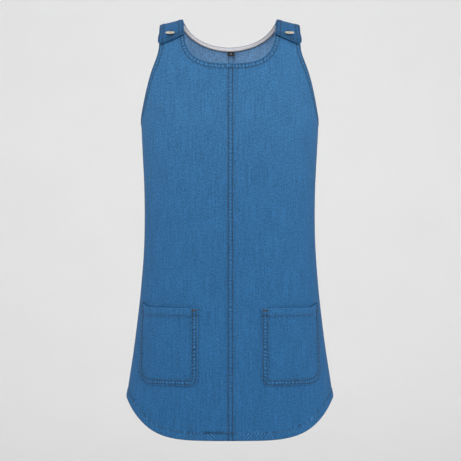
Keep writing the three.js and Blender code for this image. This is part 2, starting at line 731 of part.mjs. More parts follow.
function addPockets() {
  const outline = pocketOutline();
  const hemInset = 14;
  const hemOutline = [
    point(POCKET_INNER + hemInset, POCKET_MOUTH_HEIGHT - POCKET_HEM_DEPTH),
    point(POCKET_KINK_X - hemInset / 2, POCKET_MOUTH_HEIGHT - POCKET_HEM_DEPTH),
    point(POCKET_KINK_X - hemInset / 2, POCKET_MOUTH_HEIGHT - GAP),
    point(POCKET_INNER + hemInset, POCKET_MOUTH_HEIGHT - GAP),
  ];
  const tackEnd = POCKET_INNER + 5.5;
  const tackHeight = POCKET_MOUTH_HEIGHT - 5;
  const tackOutline = rectangle(
    tackEnd,
    tackEnd + BAR_TACK_LENGTH,
    tackHeight - BAR_TACK_WIDTH / 2,
    tackHeight + BAR_TACK_WIDTH / 2,
  );
  const patch = shell(FRONT, LAYER, LAYER + CLOTH, pocketFullness);
  const hem = shell(FRONT, 0, CLOTH, pocketFullness);
  const tack = shell(
    FRONT,
    LAYER + CLOTH + GAP,
    LAYER + CLOTH + GAP + BAR_TACK_HEIGHT,
    pocketFullness,
  );
  for (const { name, side } of SIDES) {
    add(`pocket_patch_${name}`, cut(patch, FRONT, mirrored(outline, side)), denim);
    add(`pocket_hem_${name}`, cut(hem, FRONT, mirrored(hemOutline, side)), denimInside);
    add(`pocket_bar_tack_${name}`, cut(tack, FRONT, mirrored(tackOutline, side)), tackThread);
  }
}

// A small label that hangs free from the tape's lower edge at the centre back.
function addLabel() {
  const x = SEAM_FOLD_X + SEAM_WIDTH / 2;
  const top = NECK_BACK_HEIGHT - NECK_TAPE_WIDTH;
  const { place } = onForm(BACK, x, top);
  const geometry = new THREE.BoxGeometry(LABEL_WIDTH, LABEL_THICKNESS, LABEL_HEIGHT);
  const tapeFace = place.y - LAYER - GAP - TAPE_THICKNESS;
  const y = tapeFace - LABEL_STANDOFF - LABEL_THICKNESS / 2;
  geometry.translate(x, y, top - LABEL_HEIGHT / 2);
  add('neck_label', toSolid(geometry), labelCloth);
}

addPanels();
addSeams();
addHems();
addArmholeFacings();
addNeckBands();
addStraps();
addButtons();
addPockets();
addLabel();

export default smock;
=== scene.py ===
"""Artist's smock apron: denim cloth, felled seams, straps, buttons and pockets."""

import math

import bmesh
import bpy
import numpy as np
from bpy.props import FloatProperty, FloatVectorProperty, IntProperty, PointerProperty
from mathutils import Euler, Matrix, Vector, geometry


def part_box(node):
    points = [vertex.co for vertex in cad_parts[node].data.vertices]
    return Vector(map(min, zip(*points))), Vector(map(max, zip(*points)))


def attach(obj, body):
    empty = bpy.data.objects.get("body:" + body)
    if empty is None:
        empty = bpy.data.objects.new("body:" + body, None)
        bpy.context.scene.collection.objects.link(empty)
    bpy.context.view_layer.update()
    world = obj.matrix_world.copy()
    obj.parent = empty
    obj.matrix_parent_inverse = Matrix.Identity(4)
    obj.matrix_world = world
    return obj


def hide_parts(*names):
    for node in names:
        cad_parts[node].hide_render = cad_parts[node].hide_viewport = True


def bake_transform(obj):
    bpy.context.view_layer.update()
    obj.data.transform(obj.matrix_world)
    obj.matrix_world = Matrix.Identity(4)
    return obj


bl_info = {
    "name": "Artist's Smock Apron",
    "version": (1, 0, 0),
    "blender": (4, 5, 0),
    "location": "View3D > Sidebar > Smock",
    "description": "Sews a denim smock over its packed frame",
    "category": "Add Mesh",
}

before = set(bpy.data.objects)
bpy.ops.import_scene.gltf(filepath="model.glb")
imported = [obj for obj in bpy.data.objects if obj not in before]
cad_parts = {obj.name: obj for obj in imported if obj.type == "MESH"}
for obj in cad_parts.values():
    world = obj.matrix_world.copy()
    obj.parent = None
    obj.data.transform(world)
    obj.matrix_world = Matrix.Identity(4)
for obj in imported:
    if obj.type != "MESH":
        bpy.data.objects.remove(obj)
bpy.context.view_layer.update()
SIDES = (("left", 1), ("right", -1))


# ------------------------------------------------------------------ sizes and colours


def length(name, default, description):
    return FloatProperty(name=name, default=default, description=description, unit="LENGTH")


def colour(name, default, description):
    return FloatVectorProperty(
        name=name, default=default, description=description, subtype="COLOR", size=3
    )


STRAP_LOW, STRAP_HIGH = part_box("strap_tab_left")
POCKET_LOW, POCKET_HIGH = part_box("pocket_patch_left")
FRONT_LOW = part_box("front_panel_left")[0]
TAPE_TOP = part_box("back_neck_tape")[1].z
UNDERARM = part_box("armhole_facing_front_left")[0].z
LABEL_LOW, LABEL_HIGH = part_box("neck_label")


class SmockCut(bpy.types.PropertyGroup):
    """Sizes that the pieces are cut to."""

    cloth: length("Cloth", 0.0009, "Thickness of one layer of denim")
    gap: length("Gap", 0.0003, "Air between two layers")
    band: length("Turned edge", 0.0105, "Width of the turned edge at neck and armholes")
    hem: length("Hem", 0.015, "Depth of the hem")
    lap: length("Seam lap", 0.0055, "How far a felled seam's fold lies past the centre line")
    gauge: length("Row gauge", 0.008, "Distance between the two rows of a felled seam")
    tape: length("Tape", 0.009, "Width of the neck tape")
    drape: length("Drape", 0.0012, "Height of the cloth's soft unevenness")
    pucker: length("Pucker", 0.0007, "Height of the puckers between two rows of stitches")


class SmockThread(bpy.types.PropertyGroup):
    """Sizes of the stitching."""

    pitch: length("Stitch", 0.0031, "Distance from one stitch to the next")
    radius: length("Thread radius", 0.00038, "Radius of the topstitching thread")
    seed: IntProperty(name="Seed", default=7, description="Seed of the small irregularities")


class SmockColours(bpy.types.PropertyGroup):
    """Colours of the cloths, threads and trims."""

    denim: colour("Denim", (0.0245, 0.100, 0.218), "Washed indigo on the outside, at the chest")
    # Painted shade: the darker colour that the outside takes towards the hem; the straps take it
    # too.
    denim_deep: colour("Deep denim", (0.0122, 0.073, 0.178), "Less washed, at hem and straps")
    denim_inside: colour("Denim inside", (0.118, 0.240, 0.415), "Paler inside face")
    thread: colour("Thread", (0.034, 0.038, 0.030), "Topstitching")
    hole_thread: colour("Buttonhole thread", (0.020, 0.062, 0.140), "Blue buttonhole twist")
    tack: colour("Bar tack", (0.062, 0.040, 0.018), "Bar tacks")
    tape: colour("Tape", (0.840, 0.825, 0.860), "Neck tape")
    tape_thread: colour("Tape thread", (0.300, 0.215, 0.090), "Row along the tape's lower edge")
    label: colour("Label", (0.006, 0.007, 0.009), "Neck label")
    button: colour("Button", (0.400, 0.350, 0.275), "Resin of the buttons")


class SmockStage(bpy.types.PropertyGroup):
    """Camera, backdrop and light."""

    distance: length("Distance", 4.0, "From the camera to the middle of the smock")
    view_width: length("View width", 0.968, "What the camera sees across, at the smock")
    view_height: length("View height", -0.4395, "Height of the camera in the smock's frame")
    floor: length("Floor", -1.35, "Height of the floor in the smock's frame")
    backdrop: colour("Backdrop", (0.80, 0.80, 0.80), "Floor and backdrop")


def cut():
    return bpy.context.scene.smock_cut


def threads():
    return bpy.context.scene.smock_thread


def colours():
    return bpy.context.scene.smock_colours


def layer():
    return cut().cloth + cut().gap


# -------------------------------------------------------------------------- body form

CHEST = -0.121  # where the shoulder's round begins
SHOULDER_SLOPE = 0.25
SECTION_POWER = 2.2
STRAP_INNER = 0.098
STRAP_OUTER = STRAP_HIGH.x
HALF_WIDTH_ABOVE = ((-0.121, 0.187), (0.02, 0.182))  # where the armholes leave nothing to measure
FRONT, BACK = -1, 1


def hermite(xs, ys, x):
    """A smooth curve through the points xs, ys."""
    xs, ys = np.asarray(xs, float), np.asarray(ys, float)
    slope = np.gradient(ys, xs)
    i = np.clip(np.searchsorted(xs, x) - 1, 0, len(xs) - 2)
    width = xs[i + 1] - xs[i]
    t = np.clip((x - xs[i]) / width, 0, 1)
    first = (2 * t**3 - 3 * t**2 + 1) * ys[i] + (t**3 - 2 * t**2 + t) * width * slope[i]
    second = (3 * t**2 - 2 * t**3) * ys[i + 1] + (t**3 - t**2) * width * slope[i + 1]
    return first + second


def smoothstep(low, high, x):
    t = np.clip((x - low) / (high - low), 0, 1)
    return t * t * (3 - 2 * t)


def slice_of(node, height):
    """Where the edges of a CAD node cross a height, as x and y."""
    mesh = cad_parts[node].data
    co = np.array([v.co for v in mesh.vertices], float)
    ends = np.array([e.vertices[:] for e in mesh.edges])
    a, b = co[ends[:, 0]], co[ends[:, 1]]
    crossing = (a[:, 2] - height) * (b[:, 2] - height) < 0
    a, b = a[crossing], b[crossing]
    t = (height - a[:, 2]) / (b[:, 2] - a[:, 2])
    return (a + (b - a) * t[:, None])[:, :2]


class Form:
    """The filled-out smock as a surface. A place on it is given in flat cloth measure:
    s from the centre line round to the side, and t up the back, over the shoulder line and
    down the front."""

    ARC = 0.186  # cloth from the chest up to the shoulder line

    def __init__(self, thickness):
        levels = np.linspace(FRONT_LOW.z + 0.115, UNDERARM - 0.002, 9)
        panels = ("front_panel_left", "back_panel_left")
        half = [
            (z, max(slice_of(panel, z)[:, 0].max() for panel in panels) - thickness)
            for z in levels
        ]
        low = half[0][1] + (half[0][1] - half[1][1]) * 1.02 * (levels[0] - FRONT_LOW.z) / (
            levels[1] - levels[0]
        )
        self.half = [(FRONT_LOW.z, low)] + half + list(HALF_WIDTH_ABOVE)
        depth_levels = np.linspace(FRONT_LOW.z + 0.004, CHEST - 0.001, 14)
        self.depths = {}
        for face, node in ((FRONT, "front_panel_left"), (BACK, "back_panel_left")):
            sizes = [abs(slice_of(node, z)[:, 1]).max() - thickness for z in depth_levels]
            self.depths[face] = list(zip(depth_levels, sizes))
        self.ridge = CHEST + self.ARC
        self.low = FRONT_LOW.z - 0.01
        self.t_rows = np.linspace(self.low, 2 * self.ridge - self.low, 260)
        self.rounds = np.linspace(0, math.pi / 2, 181)
        grid_r, grid_t = np.meshgrid(self.rounds, self.t_rows)
        points = self.at_round(grid_r.ravel(), grid_t.ravel()).reshape(*grid_r.shape, 3)
        steps = np.linalg.norm(np.diff(points[:, :, :2], axis=1), axis=2)
        self.lengths = np.concatenate(
            [np.zeros((len(self.t_rows), 1)), np.cumsum(steps, axis=1)], axis=1
        )
        self.lengths += np.linspace(0, 1e-6, len(self.rounds))

    def shape(self, t):
        """Half-width, depth, height and turn round the shoulder at t."""
        on_front = t > self.ridge
        up = np.where(on_front, 2 * self.ridge - t, t)
        turn = np.clip((up - CHEST) / self.ARC, 0, 1) * math.pi / 2
        height = np.where(up < CHEST, up, CHEST + abs(CHEST) * np.sin(turn))
        below = np.minimum(height, CHEST)
        half = hermite(*zip(*self.half), height)
        front = hermite(*zip(*self.depths[FRONT]), below)
        back = hermite(*zip(*self.depths[BACK]), below)
        depth = np.where(on_front, -front, back) * np.cos(turn)
        return half, depth, height, turn

    def at_round(self, r, t):
        half, depth, height, turn = self.shape(t)
        share = 2 / SECTION_POWER
        x = np.sign(r) * np.abs(np.sin(r)) ** share * half
        y = np.abs(np.cos(r)) ** share * depth
        z = height - np.sin(turn) ** 2 * SHOULDER_SLOPE * (np.abs(x) - STRAP_INNER)
        return np.stack([x, y, z], axis=-1)

    def _between_rows(self, t):
        step = self.t_rows[1] - self.t_rows[0]
        i = np.clip(((t - self.t_rows[0]) / step).astype(int), 0, len(self.t_rows) - 2)
        return i, np.clip((t - self.t_rows[i]) / step, 0, 1)

    def rounds_at(self, s, t):
        s, t = np.asarray(s, float), np.asarray(t, float)
        i, share = self._between_rows(t)
        result = np.zeros_like(s)
        for row in np.unique(i):
            here = i == row
            low = np.interp(np.abs(s[here]), self.lengths[row], self.rounds)
            high = np.interp(np.abs(s[here]), self.lengths[row + 1], self.rounds)
            result[here] = low + (high - low) * share[here]
        return np.sign(s) * result

    def lengths_at(self, r, t):
        r, t = np.asarray(r, float), np.asarray(t, float)
        i, share = self._between_rows(t)
        result = np.zeros_like(r)
        for row in np.unique(i):
            here = i == row
            low = np.interp(np.abs(r[here]), self.rounds, self.lengths[row])
            high = np.interp(np.abs(r[here]), self.rounds, self.lengths[row + 1])
            result[here] = low + (high - low) * share[here]
        return np.sign(r) * result

    def place(self, s, t):
        """Points and outward directions."""
        r = self.rounds_at(s, t)
        step = 2e-3
        limit = math.pi / 2 - 1e-6
        before = self.at_round(np.maximum(r - step, -limit), t)
        after = self.at_round(np.minimum(r + step, limit), t)
        under = self.at_round(r, t - step)
        over = self.at_round(r, t + step)
        outward = np.cross(over - under, after - before)
        outward /= np.maximum(np.linalg.norm(outward, axis=1, keepdims=True), 1e-12)
        return self.at_round(r, t), outward

    def flat(self, face, x, z):
        """The cloth measure of places seen from the front."""
        x, z = np.asarray(x, float), np.asarray(z, float)
        low, high = np.zeros_like(x), np.full_like(x, math.pi / 2)
        for _ in range(36):
            turn = (low + high) / 2
            fall = np.sin(turn) ** 2 * SHOULDER_SLOPE * (np.abs(x) - STRAP_INNER)
            higher = CHEST + abs(CHEST) * np.sin(turn) - fall > z
            high = np.where(higher, turn, high)
            low = np.where(higher, low, turn)
        up = np.where(z < CHEST, z, CHEST + self.ARC * low / (math.pi / 2))
        t = np.where(face == FRONT, 2 * self.ridge - up, up)
        half = self.shape(t)[0]
        share = np.clip(np.abs(x) / half, 0, 1)
        r = np.sign(x) * np.arcsin(share ** (SECTION_POWER / 2))
        return np.stack([self.lengths_at(r, t), t], axis=-1)


# ------------------------------------------------------------------ lines on the cloth


def bezier(points, steps=24):
    t = np.linspace(0, 1, steps)[:, None]
    p = [np.array(q, float) for q in points]
    u = 1 - t
    return u**3 * p[0] + 3 * u**2 * t * p[1] + 3 * u * t**2 * p[2] + t**3 * p[3]


def resample(line, spacing):
    """The line with evenly spaced points, ends kept."""
    line = np.asarray(line, float)
    steps = np.linalg.norm(np.diff(line, axis=0), axis=1)
    along = np.concatenate([[0], np.cumsum(steps)])
    count = max(2, int(round(along[-1] / spacing)) + 1)
    wanted = np.linspace(0, along[-1], count)
    return np.stack([np.interp(wanted, along, line[:, k]) for k in (0, 1)], axis=1)


def closed(ring):
    """An outline with its first point again at its end."""
    return np.vstack([ring, ring[:1]])


def even_ring(ring, spacing):
    """A closed outline with evenly spaced points."""
    return resample(closed(ring), spacing)[:-1]


def eased(line, spacing=0.003, rounds=70):
    """The line with its bends softened and its ends kept."""
    line = resample(line, spacing)
    for _ in range(rounds):
        line[1:-1] = line[1:-1] * 0.5 + (line[:-2] + line[2:]) * 0.25
    return line


def line_length(line):
    """The length of a line, from its first point to its last."""
    return float(np.linalg.norm(np.diff(line, axis=0), axis=1).sum())


def nearest(line, points):
    """Distance to a line, and how far along it that is."""
    a, b = line[:-1], line[1:]
    ab = b - a
    lengths = np.linalg.norm(ab, axis=1)
    starts = np.concatenate([[0], np.cumsum(lengths)[:-1]])
    best = np.full(len(points), 1e9)
    along = np.zeros(len(points))
    for i in range(len(a)):
        if lengths[i] < 1e-9:
            continue
        ap = points - a[i]
        t = np.clip(ap @ ab[i] / lengths[i] ** 2, 0, 1)
        gap = np.linalg.norm(ap - t[:, None] * ab[i], axis=1)
        closer = gap < best
        best[closer] = gap[closer]
        along[closer] = starts[i] + t[closer] * lengths[i]
    return best, along


def beside(line, distance):
    """The same line moved to its left."""
    line = np.asarray(line, float)
    along = np.gradient(line, axis=0)
    along /= np.maximum(np.linalg.norm(along, axis=1, keepdims=True), 1e-12)
    return line + np.stack([-along[:, 1], along[:, 0]], axis=1) * distance


def inside(polygon, points):
    """Which points lie inside a closed outline."""
    x, y = points[:, 0], points[:, 1]
    hit = np.zeros(len(points), bool)
    a, b = polygon, np.roll(polygon, -1, axis=0)
    for p, q in zip(a, b):
        crosses = (p[1] > y) != (q[1] > y)
        if p[1] != q[1]:
            hit ^= crosses & (x < (q[0] - p[0]) * (y - p[1]) / (q[1] - p[1]) + p[0])
    return hit


# Distances of the rows of stitches from the edge that they follow.

FIRST_ROW = 0.003
ARM_ROWS = (FIRST_ROW, 0.0098)
FRONT_NECK_ROWS = (FIRST_ROW, 0.0096)
BACK_NECK_ROWS = (FIRST_ROW, 0.0098)
END_ROWS = (FIRST_ROW, 0.0085)
POCKET_ROWS = (0.0042, 0.0112)
POCKET_MOUTH_ROW = 0.015
INSET = 0.0008  # how far a turned-in layer's edge lies inside the outer one's
ARM_STRIP = 0.0105  # widths of the turned-in strips
NECK_STRIP = 0.0102
HEM_STRIP = 0.0154

# Outlines seen from the front, for the wearer's left. They end where the CAD pieces end.

HEM_CORNER_RISE = 0.079
HEM_CURVE_POWER = 4.9
ARMHOLE_RISE = 0.133
BACK_SPREAD = 0.002
STRAP_TAPER = STRAP_INNER - STRAP_LOW.x
TAB_END = STRAP_LOW.z
TAB_END_RISE = 0.017
TAB_CORNER = 0.005
TAB_REACH = 0.004  # the strap's end reaches this much further once it lies over the front
TAB_STAND_OFF = 0.0034  # how far the strap's end stands off the front
NECK_FRONT = -0.099
NECK_BACK = -0.047
FRONT_TOP = -0.021


def arm_line(form, spread=0.0):
    """From the underarm up to the strap's edge."""
    half = float(form.shape(np.array([UNDERARM]))[0][0])
    end = (STRAP_OUTER - 0.001 + spread / 2, UNDERARM + ARMHOLE_RISE)
    points = [
        (half, UNDERARM),
        (half - 0.008 + spread, UNDERARM + 0.04),
        (end[0] + 0.02 + spread, end[1] - 0.026),
        end,
    ]
    return bezier(points)


def front_neck_line():
    """From the centre line up to the strap."""
    foot = (STRAP_INNER - STRAP_TAPER - 0.0005, TAB_END + TAB_END_RISE + 0.002)
    points = [
        (0, NECK_FRONT),
        (0.06, NECK_FRONT - 0.002),
        (foot[0] - 0.0025, NECK_FRONT + 0.014),
        foot,
    ]
    return bezier(points)


def back_neck_line():
    """From the centre line up to the strap, at the back."""
    points = [
        (0, NECK_BACK),
        (0.045, NECK_BACK + 0.001),
        (STRAP_INNER - 0.017, NECK_BACK + 0.017),
        (STRAP_INNER, 0.0),
    ]
    return bezier(points)


def hem_line(form, start=0.0):
    """From the centre line out to the corner at the side seam."""
    low = FRONT_LOW.z
    corner = float(form.shape(np.array([low + HEM_CORNER_RISE]))[0][0])
    share = np.linspace(0, 1, 60) ** 0.6
    x = share * (corner - start) + start
    z = low + HEM_CORNER_RISE * np.clip(x / corner, 0, 1) ** HEM_CURVE_POWER
    return np.stack([x, z], axis=1)


def side_line(form, low, high):
    """Up the side seam, between two heights."""
    z = np.linspace(low, high, 60)
    return np.stack([form.shape(z)[0], z], axis=1)


# --------------------------------------------------------------------------- cloth maker


class Edge:
    """A sewn edge or seam line: how the cloth lies beside it, in flat cloth measure. The
    cloth is on the line's left."""

    def __init__(self, line, rows, band=0.0, lift=0.0, pucker=(0, 0), slant=0.0, size=1.0):
        self.line = line
        self.rows = rows
        self.band = band
        self.lift = lift
        self.pucker = pucker
        self.slant = slant
        self.size = size

    def shape(self, points):
        """Height added to the cloth, and its rubbed paleness and painted shade, at each point."""
        gap, along = nearest(self.line, points)
        height = np.zeros(len(points))
        wear = np.zeros(len(points))
        if self.band:
            height += self.lift * (1 - smoothstep(self.band - 0.0004, self.band + 0.0022, gap))
        height -= 0.0006 * np.clip(1 - gap / 0.0016, 0, 1) ** 2
        # Paler along the edge itself, where the cloth is rubbed.
        wear += 0.22 * np.exp(-((gap / 0.0018) ** 2))
        low, high = self.pucker
        if high > low:
            middle, reach = (low + high) / 2, (high - low) / 2
            window = np.clip(1 - ((gap - middle) / (reach * 1.15)) ** 2, 0, 1) ** 0.7
            wobble = np.sin(along * 61) + 0.8 * np.sin(along * 143 + 1.3)
            wobble = wobble + 0.5 * np.sin(along * 317)
            phase = 2 * math.pi * (along + self.slant * gap) / 0.0068 + wobble * 1.3
            strength = 0.70 + 0.30 * np.sin(along * 37 + 0.7) * np.sin(along * 91)
            wave = np.sin(phase) * window * strength * self.size
            height += cut().pucker * wave
            # Painted light and shade on the puckers' ridges and hollows, together with the rubbing
            # of their crests.
            wear += 0.75 * wave
        for row in self.rows:
            dent = np.exp(-(((gap - row) / 0.0013) ** 2))
            height -= 0.00042 * dent
            # Painted shade in the groove of each row of stitches.
            wear -= 0.95 * dent
        return height, wear


def unevenness(points, side):
    """Soft, slow waves of well-used cloth, each side of the smock a little different."""
    s, t = points[:, 0], points[:, 1]
    waves = (
        0.45 * np.sin(31 * s + 6 * t + 0.4 * side)
        + 0.35 * np.sin(17 * s - 13 * t + 1.1)
        + 0.30 * np.sin(58 * s + 9 * t + 2.0 * side)
        + 0.18 * np.sin(83 * s - 37 * t)
    )
    return cut().drape * waves * 0.55


class Cloth:
    """One layer of cloth, cut to an outline and laid on the form."""

    def __init__(
        self,
        form,
        outline,
        side=1,
        base=None,
        edges=(),
        thickness=None,
        even=1.0,
        holes=(),
        strap=False,
    ):
        self.strap = strap
        self.form = form
        self.outline = np.asarray(outline, float)
        self.side = side
        self.base = base or (lambda points: np.zeros(len(points)))
        self.edges = list(edges)
        self.thickness = cut().cloth if thickness is None else thickness
        self.even = even
        self.holes = [np.asarray(h, float) for h in holes]

    def heights(self, points):
        height = self.base(points) + self.even * unevenness(points, self.side)
        wear = np.zeros(len(points))
        for edge in self.edges:
            more, worn_and_shaded = edge.shape(points)
            height += more
            wear += worn_and_shaded
        return height, wear

    def wash(self, places, points):
        """Share of the lit colour, as painted shade: 1 at the chest, falling towards the hem; the
        straps take 0.12 of it, which only makes them darker.
        """
        washed = np.exp(-np.clip(-0.20 - places[:, 2], 0, 1) / 0.27)
        strap = (points[:, 1] > self.form.ridge) & self.strap
        return np.where(strap, 0.12, washed)

    def surface(self, points, outer=True):
        """Points on the outer or inner face, and outward directions."""
        turned = points * [self.side, 1]
        place, outward = self.form.place(turned[:, 0], turned[:, 1])
        height, _ = self.heights(points)
        return place + outward * (height + (self.thickness if outer else 0))[:, None], outward

    def mesh(self, name, fine=0.0023, coarse=0.0075, reach=0.013, rim=0.003):
        """Builds the inner face as a mesh with a cloth UV map in metres; thicken() closes it."""
        ring = even_ring(self.outline, rim)
        low, high = ring.min(0), ring.max(0)
        inner = []
        for step, close in ((coarse, False), (fine, True)):
            xs = np.arange(low[0], high[0], step)
            ys = np.arange(low[1], high[1], step * 0.866)
            grid_x, grid_y = np.meshgrid(xs, ys)
            grid_x[1::2] += step / 2
            points = np.stack([grid_x.ravel(), grid_y.ravel()], axis=1)
            points = points[inside(ring, points)]
            near = np.full(len(points), 1e9)
            for line in [closed(ring)] + [e.line for e in self.edges]:
                near = np.minimum(near, nearest(resample(line, 0.006), points)[0])
            gap = nearest(closed(ring), points)[0]
            wanted = (near < reach) if close else (near >= reach + step * 0.3)
            inner.append(points[wanted & (gap > rim * 0.5)])
        inner = np.vstack(inner)
        holes = [even_ring(hole, 0.0012) for hole in self.holes]
        for hole in holes:
            inner = inner[~inside(beside_closed(hole, 0.0008), inner)]
        points = np.vstack([ring] + holes + [inner])
        edges = loop_edges(0, len(ring))
        start = len(ring)
        for hole in holes:
            edges += loop_edges(start, len(hole))
            start += len(hole)
        found = geometry.delaunay_2d_cdt(
            [Vector(p) for p in points], edges, [list(range(len(ring)))], 1, 1e-7
        )
        flat = np.array([v[:] for v in found[0]])
        faces = [f for f in found[2] if len(f) == 3]
        middles = flat[np.array(faces)].mean(1)
        for hole in holes:
            outside = ~inside(hole, middles)
            faces = [f for f, keep in zip(faces, outside) if keep]
            middles = middles[outside]
        co = self.surface(flat, outer=False)[0]
        wear = self.heights(flat)[1]
        triangles = np.array(faces)
        a, b, c = (flat[triangles[:, k]] for k in range(3))
        turn = (b - a)[:, 0] * (c - a)[:, 1] - (b - a)[:, 1] * (c - a)[:, 0]
        wrong = turn * self.side > 0
        triangles[wrong] = triangles[wrong][:, ::-1]
        mesh = bpy.data.meshes.new(name)
        mesh.from_pydata(co.tolist(), [], triangles.tolist())
        uv = mesh.uv_layers.new(name="cloth")
        indices = np.zeros(len(mesh.loops), int)
        mesh.loops.foreach_get("vertex_index", indices)
        uv.data.foreach_set("uv", (flat[indices] * [self.side, 1]).ravel())
        for word, values in (("wear", np.clip(wear, -1, 1)), ("wash", self.wash(co, flat))):
            attribute = mesh.attributes.new(word, "FLOAT", "POINT")
            attribute.data.foreach_set("value", values.astype(np.float32))
        mesh.polygons.foreach_set("use_smooth", [True] * len(mesh.polygons))
        piece = bpy.data.objects.new(name, mesh)
        bpy.context.scene.collection.objects.link(piece)
        self.area = float(np.abs(turn).sum() / 2)
        self.span = flat.max(0) - flat.min(0)
        return piece


def beside_closed(ring, distance):
    """A closed outline grown outwards."""
    middle = ring.mean(0)
    away = ring - middle
    return ring + away / np.maximum(np.linalg.norm(away, axis=1, keepdims=True), 1e-9) * distance


def loop_edges(start, count):
    return [(start + i, start + (i + 1) % count) for i in range(count)]


def thicken(piece, thickness):
    """Gives the cloth its thickness, with the inner face in the second material."""
    solid = piece.modifiers.new("Thickness", "SOLIDIFY")
    solid.thickness = thickness
    solid.offset = 1
    solid.use_even_offset = False
    solid.material_offset = 1
    solid.material_offset_rim = 0
    only(piece)
    bpy.ops.object.modifier_apply(modifier=solid.name)


def cut_out(name, cloth, finishes=("denim", "denim_inside"), **steps):
    """Makes a piece of cloth, with a finish for its outer and its inner face."""
    piece = cloth.mesh(name, **steps)
    for finish in finishes:
        piece.data.materials.append(finish_of(finish))
    thicken(piece, cloth.thickness)
    return piece


def only(piece):
    """Makes a piece the one that is selected and active."""
    bpy.ops.object.select_all(action="DESELECT")
    piece.select_set(True)
    bpy.context.view_layer.objects.active = piece


# ------------------------------------------------------------------------------ stitches

STITCH_RINGS = (
    (-0.47, -0.5, 0.35),
    (-0.39, 0.25, 0.85),
    (0.0, 0.75, 1.0),
    (0.39, 0.25, 0.85),
    (0.47, -0.5, 0.35),
)
STITCH_SIDES = 5
FINE_THREAD = 0.00034  # radius of the thread of bar tacks and buttonholes


def stitch_shape(pitch, radius):
    """One stitch: along, across and up of its points, and its faces."""
    points, faces = [], []
    for along, up, size in STITCH_RINGS:
        for k in range(STITCH_SIDES):
            angle = 2 * math.pi * k / STITCH_SIDES
            across, rise = radius * size * math.cos(angle), radius * (up + size * math.sin(angle))
            points.append((along * pitch, across, rise))
    for i in range(len(STITCH_RINGS) - 1):
        for k in range(STITCH_SIDES):
            a = i * STITCH_SIDES + k
            b = i * STITCH_SIDES + (k + 1) % STITCH_SIDES
            faces.append((a, a + STITCH_SIDES, b + STITCH_SIDES, b))
    last = (len(STITCH_RINGS) - 1) * STITCH_SIDES
    faces.append(tuple(range(STITCH_SIDES)))
    faces.append(tuple(last + k for k in reversed(range(STITCH_SIDES))))
    return np.array(points), faces


def sew(name, rows, material, pitch=None, radius=None, inner=False, across_by=0.0):
    """Makes one piece of all the stitches along rows, each a cloth and a line on it. With
    across_by the stitches are that long and lie across the line."""
    pitch = pitch or threads().pitch
    radius = radius or threads().radius
    template, faces = stitch_shape(across_by or pitch, radius)
    chance = np.random.default_rng(threads().seed + len(name))
    all_points, all_faces = [], []
    count = 0
    for cloth, line in rows:
        centres = resample(line, pitch)
        ahead = np.gradient(centres, axis=0)
        place, outward = cloth.surface(centres, outer=not inner)
        further, _ = cloth.surface(centres + ahead * 0.02, outer=not inner)
        if inner:
            outward = -outward
        along = further - place
        along -= outward * (along * outward).sum(1, keepdims=True)
        along /= np.maximum(np.linalg.norm(along, axis=1, keepdims=True), 1e-12)
        across = np.cross(outward, along)
        if across_by:
            along, across = across, -along
        swing = chance.normal(0, 0.07, len(centres))[:, None]
        along, across = along + across * swing, across - along * swing
        stretch = 1 + chance.normal(0, 0.04, (len(centres), 1, 1))
        points = (
            place[:, None]
            + along[:, None] * template[None, :, :1] * stretch
            + across[:, None] * template[None, :, 1:2]
            + outward[:, None] * template[None, :, 2:3]
        )
        all_points.append(points.reshape(-1, 3))
        for i in range(len(centres)):
            first = count + i * len(template)
            all_faces.extend(tuple(first + k for k in face) for face in faces)
        count += len(centres) * len(template)
    return smooth_piece(name, np.vstack(all_points).tolist(), all_faces, material)


def smooth_piece(name, points, faces, material):
    mesh = bpy.data.meshes.new(name)
    mesh.from_pydata(points, [], faces)
    mesh.materials.append(material)
    piece = bpy.data.objects.new(name, mesh)
    bpy.context.scene.collection.objects.link(piece)
    outward_faces(piece)
    mesh.polygons.foreach_set("use_smooth", [True] * len(mesh.polygons))
    return piece


def outward_faces(piece):
    """Turns every face of a closed piece outwards."""
    work = bmesh.new()
    work.from_mesh(piece.data)
    bmesh.ops.recalc_face_normals(work, faces=work.faces)
    work.to_mesh(piece.data)
    work.free()


# ---------------------------------------------------------------------------- materials


TURN = 6.2832  # one full turn, in radians


def new_group(name, inputs, outputs):
    group = bpy.data.node_groups.new(name, "ShaderNodeTree")
    for label, kind, default in inputs:
        socket = group.interface.new_socket(name=label, in_out="INPUT", socket_type=kind)
        if default is not None:
            socket.default_value = default
    for label, kind in outputs:
        group.interface.new_socket(name=label, in_out="OUTPUT", socket_type=kind)
    source = group.nodes.new("NodeGroupInput")
    sink = group.nodes.new("NodeGroupOutput")
    return group, source.outputs, sink.inputs


